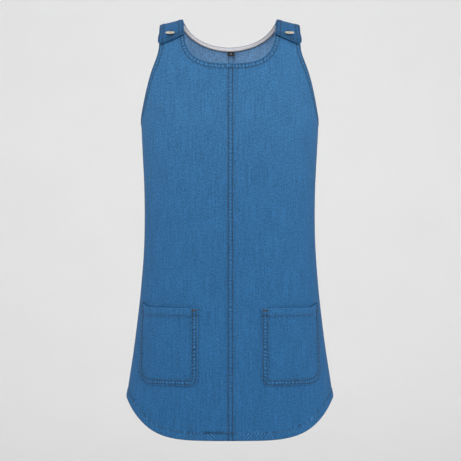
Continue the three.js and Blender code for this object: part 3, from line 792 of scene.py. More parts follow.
class Nodes:
    """Short ways to add the nodes of one tree."""

    def __init__(self, tree):
        self.tree = tree

    def add(self, kind, **settings):
        node = self.tree.nodes.new(kind)
        for key, value in settings.items():
            setattr(node, key, value)
        return node

    def link(self, source, target):
        self.tree.links.new(source, target)

    def set(self, socket, value):
        """Links the input to another socket, or gives it a plain value."""
        if isinstance(value, bpy.types.NodeSocket):
            self.link(value, socket)
        else:
            socket.default_value = value

    def math(self, operation, a, b=0.0, c=0.0):
        node = self.add("ShaderNodeMath", operation=operation)
        for socket, value in zip(node.inputs, (a, b, c)):
            self.set(socket, value)
        return node.outputs[0]

    def spread(self, value, low, high, to_low, to_high):
        node = self.add("ShaderNodeMapRange", clamp=True)
        for socket, item in zip(node.inputs, (value, low, high, to_low, to_high)):
            self.set(socket, item)
        return node.outputs[0]

    def noise(self, vector, scale, detail):
        node = self.add("ShaderNodeTexNoise")
        self.set(node.inputs["Vector"], vector)
        self.set(node.inputs["Scale"], scale)
        node.inputs["Detail"].default_value = detail
        node.inputs["Roughness"].default_value = 0.55
        return node.outputs["Fac"]

    def scaled(self, vector, scale):
        node = self.add("ShaderNodeMapping")
        self.set(node.inputs["Vector"], vector)
        node.inputs["Scale"].default_value = scale
        return node.outputs["Vector"]

    def mix(self, share, a, b):
        node = self.add("ShaderNodeMix", data_type="RGBA")
        self.set(node.inputs["Factor"], share)
        self.set(node.inputs["A"], a)
        self.set(node.inputs["B"], b)
        return node.outputs["Result"]

    def brightness(self, tint, value):
        node = self.add("ShaderNodeHueSaturation")
        self.set(node.inputs["Color"], tint)
        self.set(node.inputs["Value"], value)
        return node.outputs["Color"]


WEFT_PER_METRE = 1650


def twill_group():
    """Denim's weave: diagonal ribs, slubby warp and faded patches, in metres of cloth. Its colour
    also takes painted shade towards the hem and in the stitch grooves, and painted light and shade
    on the puckers; the straps come out darker.
    """
    group, given, made = new_group(
        "Denim twill",
        [
            ("Vector", "NodeSocketVector", None),
            ("Color", "NodeSocketColor", (0.05, 0.17, 0.37, 1)),
            ("Deep", "NodeSocketColor", (0.02, 0.08, 0.18, 1)),
            ("Wear", "NodeSocketFloat", 0.0),
            ("Wash", "NodeSocketFloat", 1.0),
            ("Rib", "NodeSocketFloat", 1150.0),
            ("Contrast", "NodeSocketFloat", 1.0),
        ],
        [
            ("Color", "NodeSocketColor"),
            ("Height", "NodeSocketFloat"),
            ("Roughness", "NodeSocketFloat"),
        ],
    )
    n = Nodes(group)
    split = n.add("ShaderNodeSeparateXYZ")
    n.link(given["Vector"], split.inputs[0])
    u, v = split.outputs[0], split.outputs[1]
    diagonal = n.math("ADD", u, n.math("MULTIPLY", v, 0.62))
    rib = n.math("SINE", n.math("MULTIPLY", n.math("MULTIPLY", diagonal, given["Rib"]), TURN))
    weft = n.math("SINE", n.math("MULTIPLY", v, TURN * WEFT_PER_METRE))
    warp_slub = n.noise(n.scaled(given["Vector"], (1500, 42, 1)), 1.0, 2.0)
    weft_slub = n.noise(n.scaled(given["Vector"], (60, 1300, 1)), 1.0, 2.0)
    streak = n.noise(n.scaled(given["Vector"], (420, 14, 1)), 1.0, 3.0)
    wash = n.noise(n.scaled(given["Vector"], (26, 17, 1)), 1.0, 4.0)
    grain = n.noise(n.scaled(given["Vector"], (330, 300, 1)), 1.0, 2.0)
    weave = n.math("ADD", n.math("MULTIPLY", rib, 0.07), n.math("MULTIPLY", weft, 0.03))
    slub = n.math("ADD", n.math("SUBTRACT", warp_slub, 0.5), n.math("SUBTRACT", weft_slub, 0.5))
    value = n.math("ADD", 1.0, n.math("MULTIPLY", weave, given["Contrast"]))
    value = n.math("MULTIPLY_ADD", slub, n.math("MULTIPLY", given["Contrast"], 0.75), value)
    for pattern, share in ((streak, 0.70), (wash, 0.24), (grain, 1.45)):
        value = n.math("MULTIPLY_ADD", n.math("SUBTRACT", pattern, 0.5), share, value)
    # Rubbed paleness, painted pucker light and painted groove shade brighten or darken the colour.
    value = n.math("MULTIPLY_ADD", given["Wear"], 0.55, value)
    # Painted shade: the colour turns to the darker one as the share of the lit colour falls.
    tint = n.mix(given["Wash"], given["Deep"], given["Color"])
    shaded = n.brightness(tint, value)
    pale = n.math("MULTIPLY", n.math("MAXIMUM", given["Wear"], 0.0), 0.12)
    n.link(n.mix(pale, shaded, (0.20, 0.34, 0.50, 1)), made["Color"])
    height = n.math("ADD", n.math("MULTIPLY", rib, 0.5), n.math("MULTIPLY", slub, 1.2))
    n.link(height, made["Height"])
    n.link(n.spread(slub, -0.5, 0.5, 0.80, 0.95), made["Roughness"])
    return group


def yarn_group():
    """Thread and tape: fine twisted fibres, in metres of the piece's own coordinates."""
    group, given, made = new_group(
        "Twisted yarn",
        [
            ("Vector", "NodeSocketVector", None),
            ("Color", "NodeSocketColor", (0.1, 0.1, 0.1, 1)),
            ("Fibre", "NodeSocketFloat", 2600.0),
            ("Variation", "NodeSocketFloat", 0.35),
        ],
        [("Color", "NodeSocketColor"), ("Height", "NodeSocketFloat")],
    )
    n = Nodes(group)
    fibre = n.noise(given["Vector"], given["Fibre"], 2.0)
    patch = n.noise(given["Vector"], 90.0, 2.0)
    both = n.math("ADD", n.math("SUBTRACT", fibre, 0.5), n.math("SUBTRACT", patch, 0.5))
    value = n.math("MULTIPLY_ADD", both, n.math("MULTIPLY", given["Variation"], 2.0), 1.0)
    n.link(n.brightness(given["Color"], value), made["Color"])
    n.link(fibre, made["Height"])
    return group


GROUPS = {}


def group_node(nodes, name, maker, **values):
    if name not in GROUPS:
        GROUPS[name] = maker()
    node = nodes.add("ShaderNodeGroup", node_tree=GROUPS[name])
    for key, value in values.items():
        nodes.set(node.inputs[key.capitalize()], value)
    return node


def new_material(name):
    material = bpy.data.materials.new(name)
    material.use_nodes = True
    nodes = Nodes(material.node_tree)
    shader = next(x for x in material.node_tree.nodes if x.type == "BSDF_PRINCIPLED")
    return material, nodes, shader


def bump(nodes, shader, height, distance, strength):
    node = nodes.add("ShaderNodeBump")
    node.inputs["Strength"].default_value = strength
    node.inputs["Distance"].default_value = distance
    nodes.link(height, node.inputs["Height"])
    nodes.link(node.outputs["Normal"], shader.inputs["Normal"])


def rgba(value):
    return (*value, 1.0)


def denim_material(name, tint, deep, contrast=1.0, sheen=0.02):
    material, n, shader = new_material(name)
    uv = n.add("ShaderNodeUVMap", uv_map="cloth")
    # Rubbed paleness, and painted shade of puckers and stitch grooves.
    wear = n.add("ShaderNodeAttribute", attribute_name="wear")
    # Share of the lit colour: painted shade towards the hem, and darker straps.
    wash = n.add("ShaderNodeAttribute", attribute_name="wash")
    weave = group_node(
        n,
        "twill",
        twill_group,
        vector=uv.outputs["UV"],
        color=rgba(tint),
        deep=rgba(deep),
        wear=wear.outputs["Fac"],
        wash=wash.outputs["Fac"],
        contrast=contrast,
    )
    n.link(weave.outputs["Color"], shader.inputs["Base Color"])
    n.link(weave.outputs["Roughness"], shader.inputs["Roughness"])
    shader.inputs["Sheen Weight"].default_value = sheen
    shader.inputs["Sheen Roughness"].default_value = 0.5
    shader.inputs["Specular IOR Level"].default_value = 0.14
    bump(n, shader, weave.outputs["Height"], 0.00012, 0.45)
    return material


def yarn_material(name, tint, variation=0.35):
    material, n, shader = new_material(name)
    place = n.add("ShaderNodeTexCoord")
    yarn = group_node(
        n, "yarn", yarn_group, vector=place.outputs["Object"], color=rgba(tint), variation=variation
    )
    n.link(yarn.outputs["Color"], shader.inputs["Base Color"])
    shader.inputs["Roughness"].default_value = 0.75
    shader.inputs["Sheen Weight"].default_value = 0.05
    shader.inputs["Specular IOR Level"].default_value = 0.15
    bump(n, shader, yarn.outputs["Height"], 0.0001, 0.3)
    return material


def tape_material(name, tint):
    """Pale twill tape with steep diagonal ribs."""
    material, n, shader = new_material(name)
    uv = n.add("ShaderNodeUVMap", uv_map="cloth")
    split = n.add("ShaderNodeSeparateXYZ")
    n.link(uv.outputs["UV"], split.inputs[0])
    slanted = n.math("ADD", split.outputs[0], n.math("MULTIPLY", split.outputs[1], 0.9))
    rib = n.math("SINE", n.math("MULTIPLY", slanted, TURN * 560))
    shade = n.spread(rib, -1.0, 1.0, 0.84, 1.0)
    soil = n.noise(n.scaled(uv.outputs["UV"], (60, 60, 1)), 1.0, 2.0)
    shade = n.math("MULTIPLY", shade, n.spread(soil, 0.3, 0.7, 0.93, 1.03))
    n.link(n.brightness(rgba(tint), shade), shader.inputs["Base Color"])
    shader.inputs["Roughness"].default_value = 0.85
    shader.inputs["Sheen Weight"].default_value = 0.1
    bump(n, shader, rib, 0.00025, 0.6)
    return material


def resin_material(name, tint):
    """Horn-like resin with soft bands."""
    material, n, shader = new_material(name)
    place = n.add("ShaderNodeTexCoord")
    cloud = n.noise(n.scaled(place.outputs["Object"], (90, 260, 90)), 1.0, 4.0)
    band = n.noise(n.scaled(place.outputs["Object"], (420, 1300, 420)), 1.0, 2.0)
    clouded = n.spread(cloud, 0.3, 0.7, 0.72, 1.18)
    value = n.math("ADD", clouded, n.spread(band, 0.3, 0.7, -0.06, 0.06))
    n.link(n.brightness(rgba(tint), value), shader.inputs["Base Color"])
    n.link(n.spread(band, 0.3, 0.7, 0.28, 0.45), shader.inputs["Roughness"])
    shader.inputs["Subsurface Weight"].default_value = 0.06
    shader.inputs["Subsurface Scale"].default_value = 0.002
    shader.inputs["Coat Weight"].default_value = 0.15
    bump(n, shader, cloud, 0.0001, 0.25)
    return material


def label_material(name, tint, mark):
    """Black damask with a plain pale bar woven in the middle."""
    material, n, shader = new_material(name)
    place = n.add("ShaderNodeTexCoord")
    split = n.add("ShaderNodeSeparateXYZ")
    n.link(place.outputs["Object"], split.inputs[0])
    x, z = split.outputs[0], split.outputs[2]
    middle = (LABEL_LOW + LABEL_HIGH) / 2
    across = n.math("ABSOLUTE", n.math("SUBTRACT", x, middle.x))
    up = n.math("ABSOLUTE", n.math("SUBTRACT", z, middle.z))
    bar = n.math("MULTIPLY", n.math("LESS_THAN", across, 0.0019), n.math("LESS_THAN", up, 0.0006))
    ribs = n.math("SINE", n.math("MULTIPLY", n.math("ADD", x, z), TURN * 1900))
    fleck = n.noise(place.outputs["Object"], 1800.0, 2.0)
    value = n.math("ADD", n.spread(ribs, -1, 1, 0.75, 1.15), n.spread(fleck, 0.3, 0.7, -0.15, 0.3))
    dark = n.brightness(rgba(tint), value)
    n.link(n.mix(bar, dark, rgba(mark)), shader.inputs["Base Color"])
    n.link(n.spread(fleck, 0.3, 0.7, 0.6, 0.85), shader.inputs["Roughness"])
    bump(n, shader, ribs, 0.00008, 0.5)
    return material


MATERIALS = {}


def finish_of(name):
    """Each finish is made once, the first time it is asked for."""
    tint = colours()
    makers = {
        "denim": lambda: denim_material("Washed denim", tint.denim, tint.denim_deep),
        "denim_inside": lambda: denim_material(
            "Denim inside", tint.denim_inside, tint.denim_inside, 1.3, 0.1
        ),
        "thread": lambda: yarn_material("Topstitching", tint.thread),
        "hole_thread": lambda: yarn_material("Buttonhole thread", tint.hole_thread),
        "tack": lambda: yarn_material("Bar tack thread", tint.tack, 0.5),
        "tape_thread": lambda: yarn_material("Tape thread", tint.tape_thread),
        "tape": lambda: tape_material("Twill tape", tint.tape),
        "button": lambda: resin_material("Button resin", tint.button),
        "label": lambda: label_material("Woven label", tint.label, (0.35, 0.35, 0.35)),
    }
    if name not in MATERIALS:
        MATERIALS[name] = makers[name]()
    return MATERIALS[name]


# ------------------------------------------------------------------- pieces of the smock

FORMS = {}


def form_of_smock():
    if "form" not in FORMS:
        FORMS["form"] = Form(cut().cloth)
    return FORMS["form"]


CLOTHS = {}
LINES = {}


def made_before(store, name):
    """What an earlier step has made; a step that comes too soon stops with an error."""
    if name not in store:
        raise RuntimeError(f"{name} isn't cut yet: run the panels' steps first")
    return store[name]


def flat(face, line):
    """An outline seen from the front, in cloth measure."""
    line = np.asarray(line, float)
    return form_of_smock().flat(face, line[:, 0], line[:, 1])


def lapped(points):
    """A felled seam's upper panel rises over the lower one at the centre line."""
    return layer() * (1 - smoothstep(cut().gauge - 0.0005, cut().gauge + 0.003, points[:, 0]))


def raised(points):
    """The back's cloth climbs over the front's top as it nears the shoulder line."""
    form = form_of_smock()
    turn = form.shape(points[:, 1])[3]
    climb = 2 * layer() * smoothstep(math.pi / 4, math.pi / 2, turn)
    return np.where(points[:, 1] > form.ridge, 2 * layer(), climb)


def standing(points):
    """The strap's end stands a little off the front below its button."""
    form = form_of_smock()
    end = form.flat(FRONT, [STRAP_INNER], [TAB_END + TAB_END_RISE])[0, 1]
    away = TAB_STAND_OFF * smoothstep(end - 0.020, end + 0.004, points[:, 1])
    return np.where(points[:, 1] > form.ridge, away, 0)


def beneath(face, depth):
    """The height of a layer that lies under the outer cloth."""
    if face == FRONT:
        return lambda points: np.full(len(points), -depth)
    return lambda points: raised(points) - depth


def finish_piece(piece, body, nodes=(), across=None):
    if nodes:
        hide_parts(*nodes)
    if across:
        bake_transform(piece)
    else:
        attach(piece, body)
    return piece


def declare(piece, cloth, rests_on, held="hung", **more):
    """Works out the width, length and area of a cut piece of cloth before it was hung, and keeps
    none of them.
    """
    width, long = (float(x) for x in cloth.span)
    area = min(cloth.area, 0.999 * width * long)


def felled_rows():
    return (FIRST_ROW, FIRST_ROW + cut().gauge)


def hem_edge(line):
    return Edge(line, (cut().hem,), cut().hem + 0.0004, 0.0007, (0.002, cut().hem), 1.0, size=1.25)


def front_neck_edge(line):
    return Edge(line, FRONT_NECK_ROWS, cut().band, 0.0006, FRONT_NECK_ROWS, 0.15, size=1.25)


def front_panel_cloth(side):
    """The front panel; the one on the wearer's left laps over the other at the centre."""
    form = form_of_smock()
    start = -cut().lap if side > 0 else -0.003
    neck = front_neck_line()
    arm = arm_line(form)
    neck_top = np.array([[neck[-1, 0] + 0.002, FRONT_TOP]])
    arm_top = np.array([[STRAP_OUTER, FRONT_TOP]])
    hem = flat(FRONT, hem_line(form, start))
    seam = flat(FRONT, side_line(form, hem_line(form)[-1, 1], UNDERARM))
    armhole = eased(flat(FRONT, np.vstack([arm, arm_top])))
    neckline = flat(FRONT, np.vstack([neck, neck_top]))
    fold = np.array([[start, neckline[0, 1]], [start, hem[0, 1]]])
    outline = np.vstack([hem, seam[1:-1], armhole, neckline[::-1], fold[:1]])
    armhole, hem, fold = armhole[::-1], hem[::-1], fold[::-1]
    edges = [
        Edge(armhole, ARM_ROWS, cut().band, 0.0006, ARM_ROWS, 0.25, size=0.8),
        front_neck_edge(neckline),
        hem_edge(hem),
    ]
    if side > 0:
        rows = felled_rows()
        edges.append(Edge(fold, rows, 0, 0, rows, 0.1, size=0.55))
    base = lapped if side > 0 else None
    lines = {"fold": fold, "arm": armhole, "neck": neckline, "hem": hem}
    return Cloth(form, outline, side, base, edges), lines


def back_panel_cloth(side):
    """The back panel with the strap, up over the shoulder line and down the front."""
    form = form_of_smock()
    start = -cut().lap if side > 0 else -0.003
    arm = arm_line(form, BACK_SPREAD)
    neck = back_neck_line()
    hem = flat(BACK, hem_line(form, start))
    seam = flat(BACK, side_line(form, hem_line(form)[-1, 1], UNDERARM))
    trim = STRAP_OUTER - 0.0012
    armhole = flat(BACK, np.vstack([arm, [[trim, -0.03]], [[trim, -0.012]]]))
    over_outer = flat(FRONT, [(trim, -0.015), (trim, TAB_END + TAB_CORNER - TAB_REACH)])
    end = flat(
        FRONT,
        [
            (STRAP_OUTER - TAB_CORNER, TAB_END - TAB_REACH),
            (STRAP_INNER - STRAP_TAPER, TAB_END + TAB_END_RISE - TAB_REACH / 2),
        ],
    )
    over_inner = flat(FRONT, [(STRAP_INNER - 0.0035, -0.016), (STRAP_INNER, -0.001)])
    neckline = flat(BACK, neck)
    strap_edge = eased(np.vstack([armhole, over_outer]))
    neck_edge = np.vstack([end[-1:], over_inner, neckline[::-1]])
    fold = np.array([[start, neckline[0, 1]], [start, hem[0, 1]]])
    outline = np.vstack([hem, seam[1:-1], strap_edge, end, neck_edge[1:], fold[:1]])
    edges = [
        Edge(strap_edge, ARM_ROWS, cut().band, 0.0005, ARM_ROWS, 0.25, size=0.7),
        Edge(neck_edge, BACK_NECK_ROWS, cut().band, 0.0005, BACK_NECK_ROWS, 0.2, size=0.8),
        Edge(end, END_ROWS, 0.0, 0.0, END_ROWS, 0.1, size=0.6),
        hem_edge(hem),
        Edge(seam, felled_rows(), 0.012, 0.0005, (FIRST_ROW, 0.011), 0.1, size=0.5),
    ]
    if side > 0:
        rows = felled_rows()
        edges.append(Edge(fold, rows, 0, 0, rows, 0.1, size=0.5))

    def base(points):
        return raised(points) + standing(points) + (lapped(points) if side > 0 else 0)

    hole = slit_outline(side)
    cloth = Cloth(form, outline, side, base, edges, even=0.8, holes=[hole], strap=True)
    lines = {"fold": fold, "arm": strap_edge, "neck": neck_edge, "end": end, "hem": hem}
    lines["side"] = seam
    return cloth, lines


def button_seat(side):
    """Where the button's thread passes through the strap, in cloth measure of the left."""
    low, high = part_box(f"buttonhole_{'left' if side > 0 else 'right'}")
    middle = (low + high) / 2
    return flat(FRONT, [(abs(middle.x), middle.z)])[0] + [0.0, -0.0012]


SLIT_LENGTH = 0.0215
SLIT_WIDTH = 0.0024
SLIT_TAIL = 0.0045  # how much of the slit lies below the button's thread


def slit_outline(side):
    """The buttonhole's slit as a closed outline, wider at its upper end."""
    seat = button_seat(side)
    turn = np.linspace(0, 2 * math.pi, 30, endpoint=False)
    up = -SLIT_LENGTH / 2 * np.cos(turn)
    eye = 1 + 0.75 * smoothstep(SLIT_LENGTH * 0.2, SLIT_LENGTH * 0.5, up)
    wide = SLIT_WIDTH / 2 * np.sin(turn) * eye
    middle = seat + [0, -(SLIT_LENGTH / 2 - SLIT_TAIL)]
    return np.stack([middle[0] + wide, middle[1] - up], axis=1)


def trimmed(line, start=0.0, end=0.0):
    """A line without its first and last stretch."""
    fine = resample(line, 0.001)
    first = int(round(start / 0.001))
    last = len(fine) - int(round(end / 0.001))
    return fine[first:last]


def rows_beside(cloth, line, distances):
    """Rows of stitches on a cloth, at their distances to the left of a line."""
    return [(cloth, beside(line, distance)) for distance in distances]


class SMOCK_OT_front(bpy.types.Operator):
    """Cuts and sews the two front panels"""

    bl_idname = "smock.front"
    bl_label = "Front panels"

    def execute(self, context):
        for name, side in SIDES:
            cloth, lines = front_panel_cloth(side)
            CLOTHS[f"front_{name}"], LINES[f"front_{name}"] = cloth, lines
            piece = cut_out(f"cloth_front_{name}", cloth)
            finish_piece(piece, "smock", [f"front_panel_{name}"])
            rows = rows_beside(cloth, trimmed(lines["arm"], 0.002, 0.001), ARM_ROWS)
            rows += rows_beside(cloth, trimmed(lines["neck"], 0, 0.002), FRONT_NECK_ROWS)
            rows += rows_beside(cloth, trimmed(lines["hem"], 0, 0.001), (cut().hem,))
            if side > 0:
                rows += rows_beside(cloth, trimmed(lines["fold"], 0.001, 0.011), felled_rows())
            seams = sew(f"stitches_front_{name}", rows, finish_of("thread"))
            finish_piece(seams, "smock")
            declare(piece, cloth, [f"strap_tab_{name}", f"back_panel_{name}"], with_pieces=[seams])
        return {"FINISHED"}


class SMOCK_OT_back(bpy.types.Operator):
    """Cuts and sews the two back panels with their straps"""

    bl_idname = "smock.back"
    bl_label = "Back panels and straps"

    def execute(self, context):
        for name, side in SIDES:
            cloth, lines = back_panel_cloth(side)
            CLOTHS[f"back_{name}"], LINES[f"back_{name}"] = cloth, lines
            piece = cut_out(f"cloth_back_{name}", cloth)
            nodes = [f"back_panel_{name}", f"strap_tab_{name}"]
            finish_piece(piece, "smock", nodes, across=f"strap_{name}")
            rows = []
            for at in ARM_ROWS:
                rows += rows_beside(cloth, trimmed(lines["arm"], 0.001, at), (at,))
                rows += rows_beside(cloth, trimmed(lines["neck"], at, 0.001), (at,))
            for at in END_ROWS:
                rows += rows_beside(cloth, trimmed(lines["end"], at, at), (at,))
            rows += rows_beside(cloth, trimmed(lines["hem"], 0.001, 0), (cut().hem,))
            for at in felled_rows():
                rows += rows_beside(cloth, trimmed(lines["side"], 0.016, 0.004), (at,))
                if side > 0:
                    rows += rows_beside(cloth, trimmed(lines["fold"], 0.011, 0.001), (at,))
            seams = sew(f"stitches_back_{name}", rows, finish_of("thread"))
            finish_piece(seams, "smock", across=f"strap_{name}")
            declare(piece, cloth, [f"front_panel_{name}"], held="draped", with_pieces=[seams])
        return {"FINISHED"}


def strap_outline(inset):
    """The strap's inner layer, from behind the shoulder line to the tab's end."""
    inset += 0.001
    outer, inner = STRAP_OUTER - inset, STRAP_INNER + inset
    low = TAB_END - TAB_REACH
    ways = (
        (BACK, (inner, -0.022), (outer, -0.034)),
        (BACK, (outer, -0.014), None),
        (FRONT, (outer, -0.016), (outer, low + TAB_CORNER)),
        (FRONT, (STRAP_OUTER - TAB_CORNER, low + inset), None),
        (FRONT, (inner - STRAP_TAPER, low + TAB_END_RISE + inset + TAB_REACH / 2), None),
        (FRONT, (inner - 0.0035, -0.016), (inner, -0.001)),
    )
    return np.vstack([flat(face, [p for p in points if p]) for face, *points in ways])


def band_outline(line, low, high):
    """The strip that lies between two distances from a line."""
    return np.vstack([beside(line, low), beside(line, high)[::-1]])


def strip(
    name,
    cloth,
    nodes,
    across=None,
    rim=0.0035,
    fine=0.0035,
    finishes=("denim_inside", "denim"),
):
    """Makes one of the narrow inner layers."""
    piece = cut_out(name, cloth, finishes, fine=fine, rim=rim)
    return finish_piece(piece, "smock", nodes, across)


def declare_strip(long, wide):
    max(wide, 0.01)


class SMOCK_OT_linings(bpy.types.Operator):
    """Lines the straps and turns in the armholes, the neck and the hem"""

    bl_idname = "smock.linings"
    bl_label = "Strap linings, turned edges and hems"

    def execute(self, context):
        form = form_of_smock()
        for name, side in SIDES:
            back = made_before(CLOTHS, f"back_{name}")
            lining = Cloth(
                form,
                strap_outline(INSET),
                side,
                lambda points: raised(points) + standing(points) - layer(),
                edges=[edge for edge in back.edges if edge.band < cut().hem],
                even=0.8,
                holes=[slit_outline(side)],
                strap=True,
            )
            nodes = [f"strap_facing_{name}", f"strap_tab_lining_{name}"]
            piece = strip(
                f"lining_strap_{name}", lining, nodes, across=f"strap_{name}", rim=0.003
            )
            declare(piece, lining, [f"cloth_back_{name}"], held="draped")
            for face, word in ((FRONT, "front"), (BACK, "back")):
                lines = made_before(LINES, f"{word}_{name}")
                arm, hem = self.part_of(lines["arm"], face), trimmed(lines["hem"], 0.004, 0.004)
                for kind, node, line, wide, reach in (
                    ("armhole", f"armhole_facing_{word}_{name}", arm, ARM_STRIP, ARM_STRIP),
                    ("hem", f"hem_{word}_{name}", hem, HEM_STRIP, cut().hem + 0.0004),
                ):
                    cloth = made_before(CLOTHS, f"{word}_{name}")
                    turned = Cloth(
                        form,
                        band_outline(line, INSET, reach),
                        side,
                        beneath(face, layer()),
                        cloth.edges,
                        even=cloth.even,
                    )
                    piece = strip(f"turned_{kind}_{word}_{name}", turned, [node])
                    declare_strip(line_length(line), wide)
        self.neck(form)
        return {"FINISHED"}

    def part_of(self, line, face):
        """The part of an armhole's edge that has a turned-in layer of its own."""
        if face == FRONT:
            return resample(line, 0.004)[3:-2]
        limit = form_of_smock().flat(BACK, [STRAP_OUTER - 0.0005], [-0.036])[0, 1]
        return resample(line[line[:, 1] < limit], 0.004)[2:]

    def neck(self, form):
        """The front neck's turned edge, one strip from strap to strap."""
        half = resample(flat(FRONT, front_neck_line()), 0.003)[1:]
        line = np.vstack([half[::-1] * [-1, 1], [[0, half[0, 1]]], half])
        outline = band_outline(line, INSET, NECK_STRIP)
        edge = front_neck_edge(line)
        facing = Cloth(form, outline, 1, beneath(FRONT, layer()), [edge])
        piece = strip("turned_neck_front", facing, ["front_neck_facing"])
        declare_strip(line_length(line), NECK_STRIP)


class SMOCK_OT_seams(bpy.types.Operator):
    """Fells the centre and side seams on the inside"""

    bl_idname = "smock.seams"
    bl_label = "Felled seams"

    def execute(self, context):
        form = form_of_smock()
        for face, word in ((FRONT, "front"), (BACK, "back")):
            low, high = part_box(f"{word}_centre_seam")
            ends = flat(face, [(0, low.z), (0, high.z)])[:, 1]
            outline = [(low.x, ends[0]), (high.x, ends[0]), (high.x, ends[1]), (low.x, ends[1])]
            even = 1.0 if face == FRONT else 0.8
            outline = resample(np.array(outline + outline[:1]), 0.004)[:-1]
            cloth = Cloth(form, outline, 1, beneath(face, layer()), even=even)
            piece = strip(
                f"felled_seam_{word}",
                cloth,
                [f"{word}_centre_seam"],
                finishes=("denim_inside", "denim_inside"),
            )
            rows = []
            for s in (FIRST_ROW - cut().lap, FIRST_ROW - cut().lap + cut().gauge):
                rows.append((cloth, np.array([[s, ends[0] + 0.003], [s, ends[1] - 0.003]])))
            seams = sew(f"stitches_inside_{word}", rows, finish_of("thread"), inner=True)
            finish_piece(seams, "smock")
        for name, side in SIDES:
            low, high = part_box(f"side_seam_{name}")
            line = resample(flat(BACK, side_line(form, low.z, high.z)), 0.004)
            cloth = Cloth(
                form, band_outline(line, 0.0006, 0.0112), side, beneath(BACK, layer()), even=0.8
            )
            piece = strip(f"felled_side_{name}", cloth, [f"side_seam_{name}"])
            declare_strip(line_length(line), 0.0106)
        return {"FINISHED"}


TAPE_THICKNESS = 0.0007
TAPE_RISE = 0.0011  # how far the tape's upper edge lies above the neckline
LABEL_THICKNESS = 0.0005


class SMOCK_OT_neck_tape(bpy.types.Operator):
    """Binds the back neck with tape and sews in the label"""

    bl_idname = "smock.neck_tape"
    bl_label = "Neck tape and label"

    def execute(self, context):
        form = form_of_smock()
        half = resample(flat(BACK, back_neck_line()), 0.003)
        top = form.flat(BACK, [STRAP_INNER], [TAPE_TOP])[0, 1]
        half = half[half[:, 1] < top]
        line = np.vstack([half[::-1] * [-1, 1], half[1:]])[::-1]
        depth = layer() + cut().gap + TAPE_THICKNESS
        cloth = Cloth(
            form,
            band_outline(line, -TAPE_RISE, cut().tape - TAPE_RISE),
            1,
            beneath(BACK, depth),
            thickness=TAPE_THICKNESS,
            even=0.8,
        )
        strip(
            "tape_neck",
            cloth,
            ["back_neck_tape"],
            rim=0.0022,
            fine=0.0022,
            finishes=("tape", "tape"),
        )
        upper = sew(
            "stitches_tape_upper", [(cloth, beside(line, 0.0))], finish_of("thread"), inner=True
        )
        lower = sew(
            "stitches_tape_lower",
            [(cloth, beside(line, cut().tape - 2 * TAPE_RISE))],
            finish_of("tape_thread"),
            inner=True,
        )
        for seam in (upper, lower):
            finish_piece(seam, "smock")
        self.label()
        return {"FINISHED"}

    def label(self):
        """A small label that hangs from the tape's lower edge."""
        middle = (LABEL_LOW + LABEL_HIGH) / 2
        width, high = LABEL_HIGH.x - LABEL_LOW.x, LABEL_HIGH.z - LABEL_LOW.z
        bpy.ops.object.select_all(action="DESELECT")
        bpy.ops.mesh.primitive_grid_add(x_subdivisions=18, y_subdivisions=12, size=1)
        label = bpy.context.object
        label.name = "label_neck"
        for vertex in label.data.vertices:
            x, z = vertex.co.x * width, vertex.co.y * high
            sag = 0.0003 * math.cos(x * 500) * (0.5 - z / high) - 0.0002
            vertex.co = (middle.x + x, middle.y + sag, middle.z + z)
        outward_faces(label)
        solid = label.modifiers.new("Thickness", "SOLIDIFY")
        solid.thickness = LABEL_THICKNESS
        solid.offset = 0
        bpy.ops.object.modifier_apply(modifier=solid.name)
        label.data.materials.append(finish_of("label"))
        outward_faces(label)
        bpy.ops.object.shade_smooth_by_angle(angle=0.6)
        finish_piece(label, "label", ["neck_label"])


POCKET_MOUTH_DROP = 0.010  # from the mouth's outer corner down to the rest of it
POCKET_OUTER_TRIM = 0.007  # from the outer side of the CAD pocket's box to its sewn edge
POCKET_KINK_INSET = 0.019
POCKET_INNER_CORNER = 0.020  # where the two lower corners begin to bend
POCKET_OUTER_CORNER = 0.031
POCKET_FULLNESS = 0.0085  # how far the mouth stands off the front
POCKET_TURN = 0.014  # depth of the mouth's turned edge
TACK_START, TACK_END = 0.0035, 0.0125  # along the mouth, from its inner corner
TACK_PITCH = 0.0005
TACK_STITCH = 0.0025


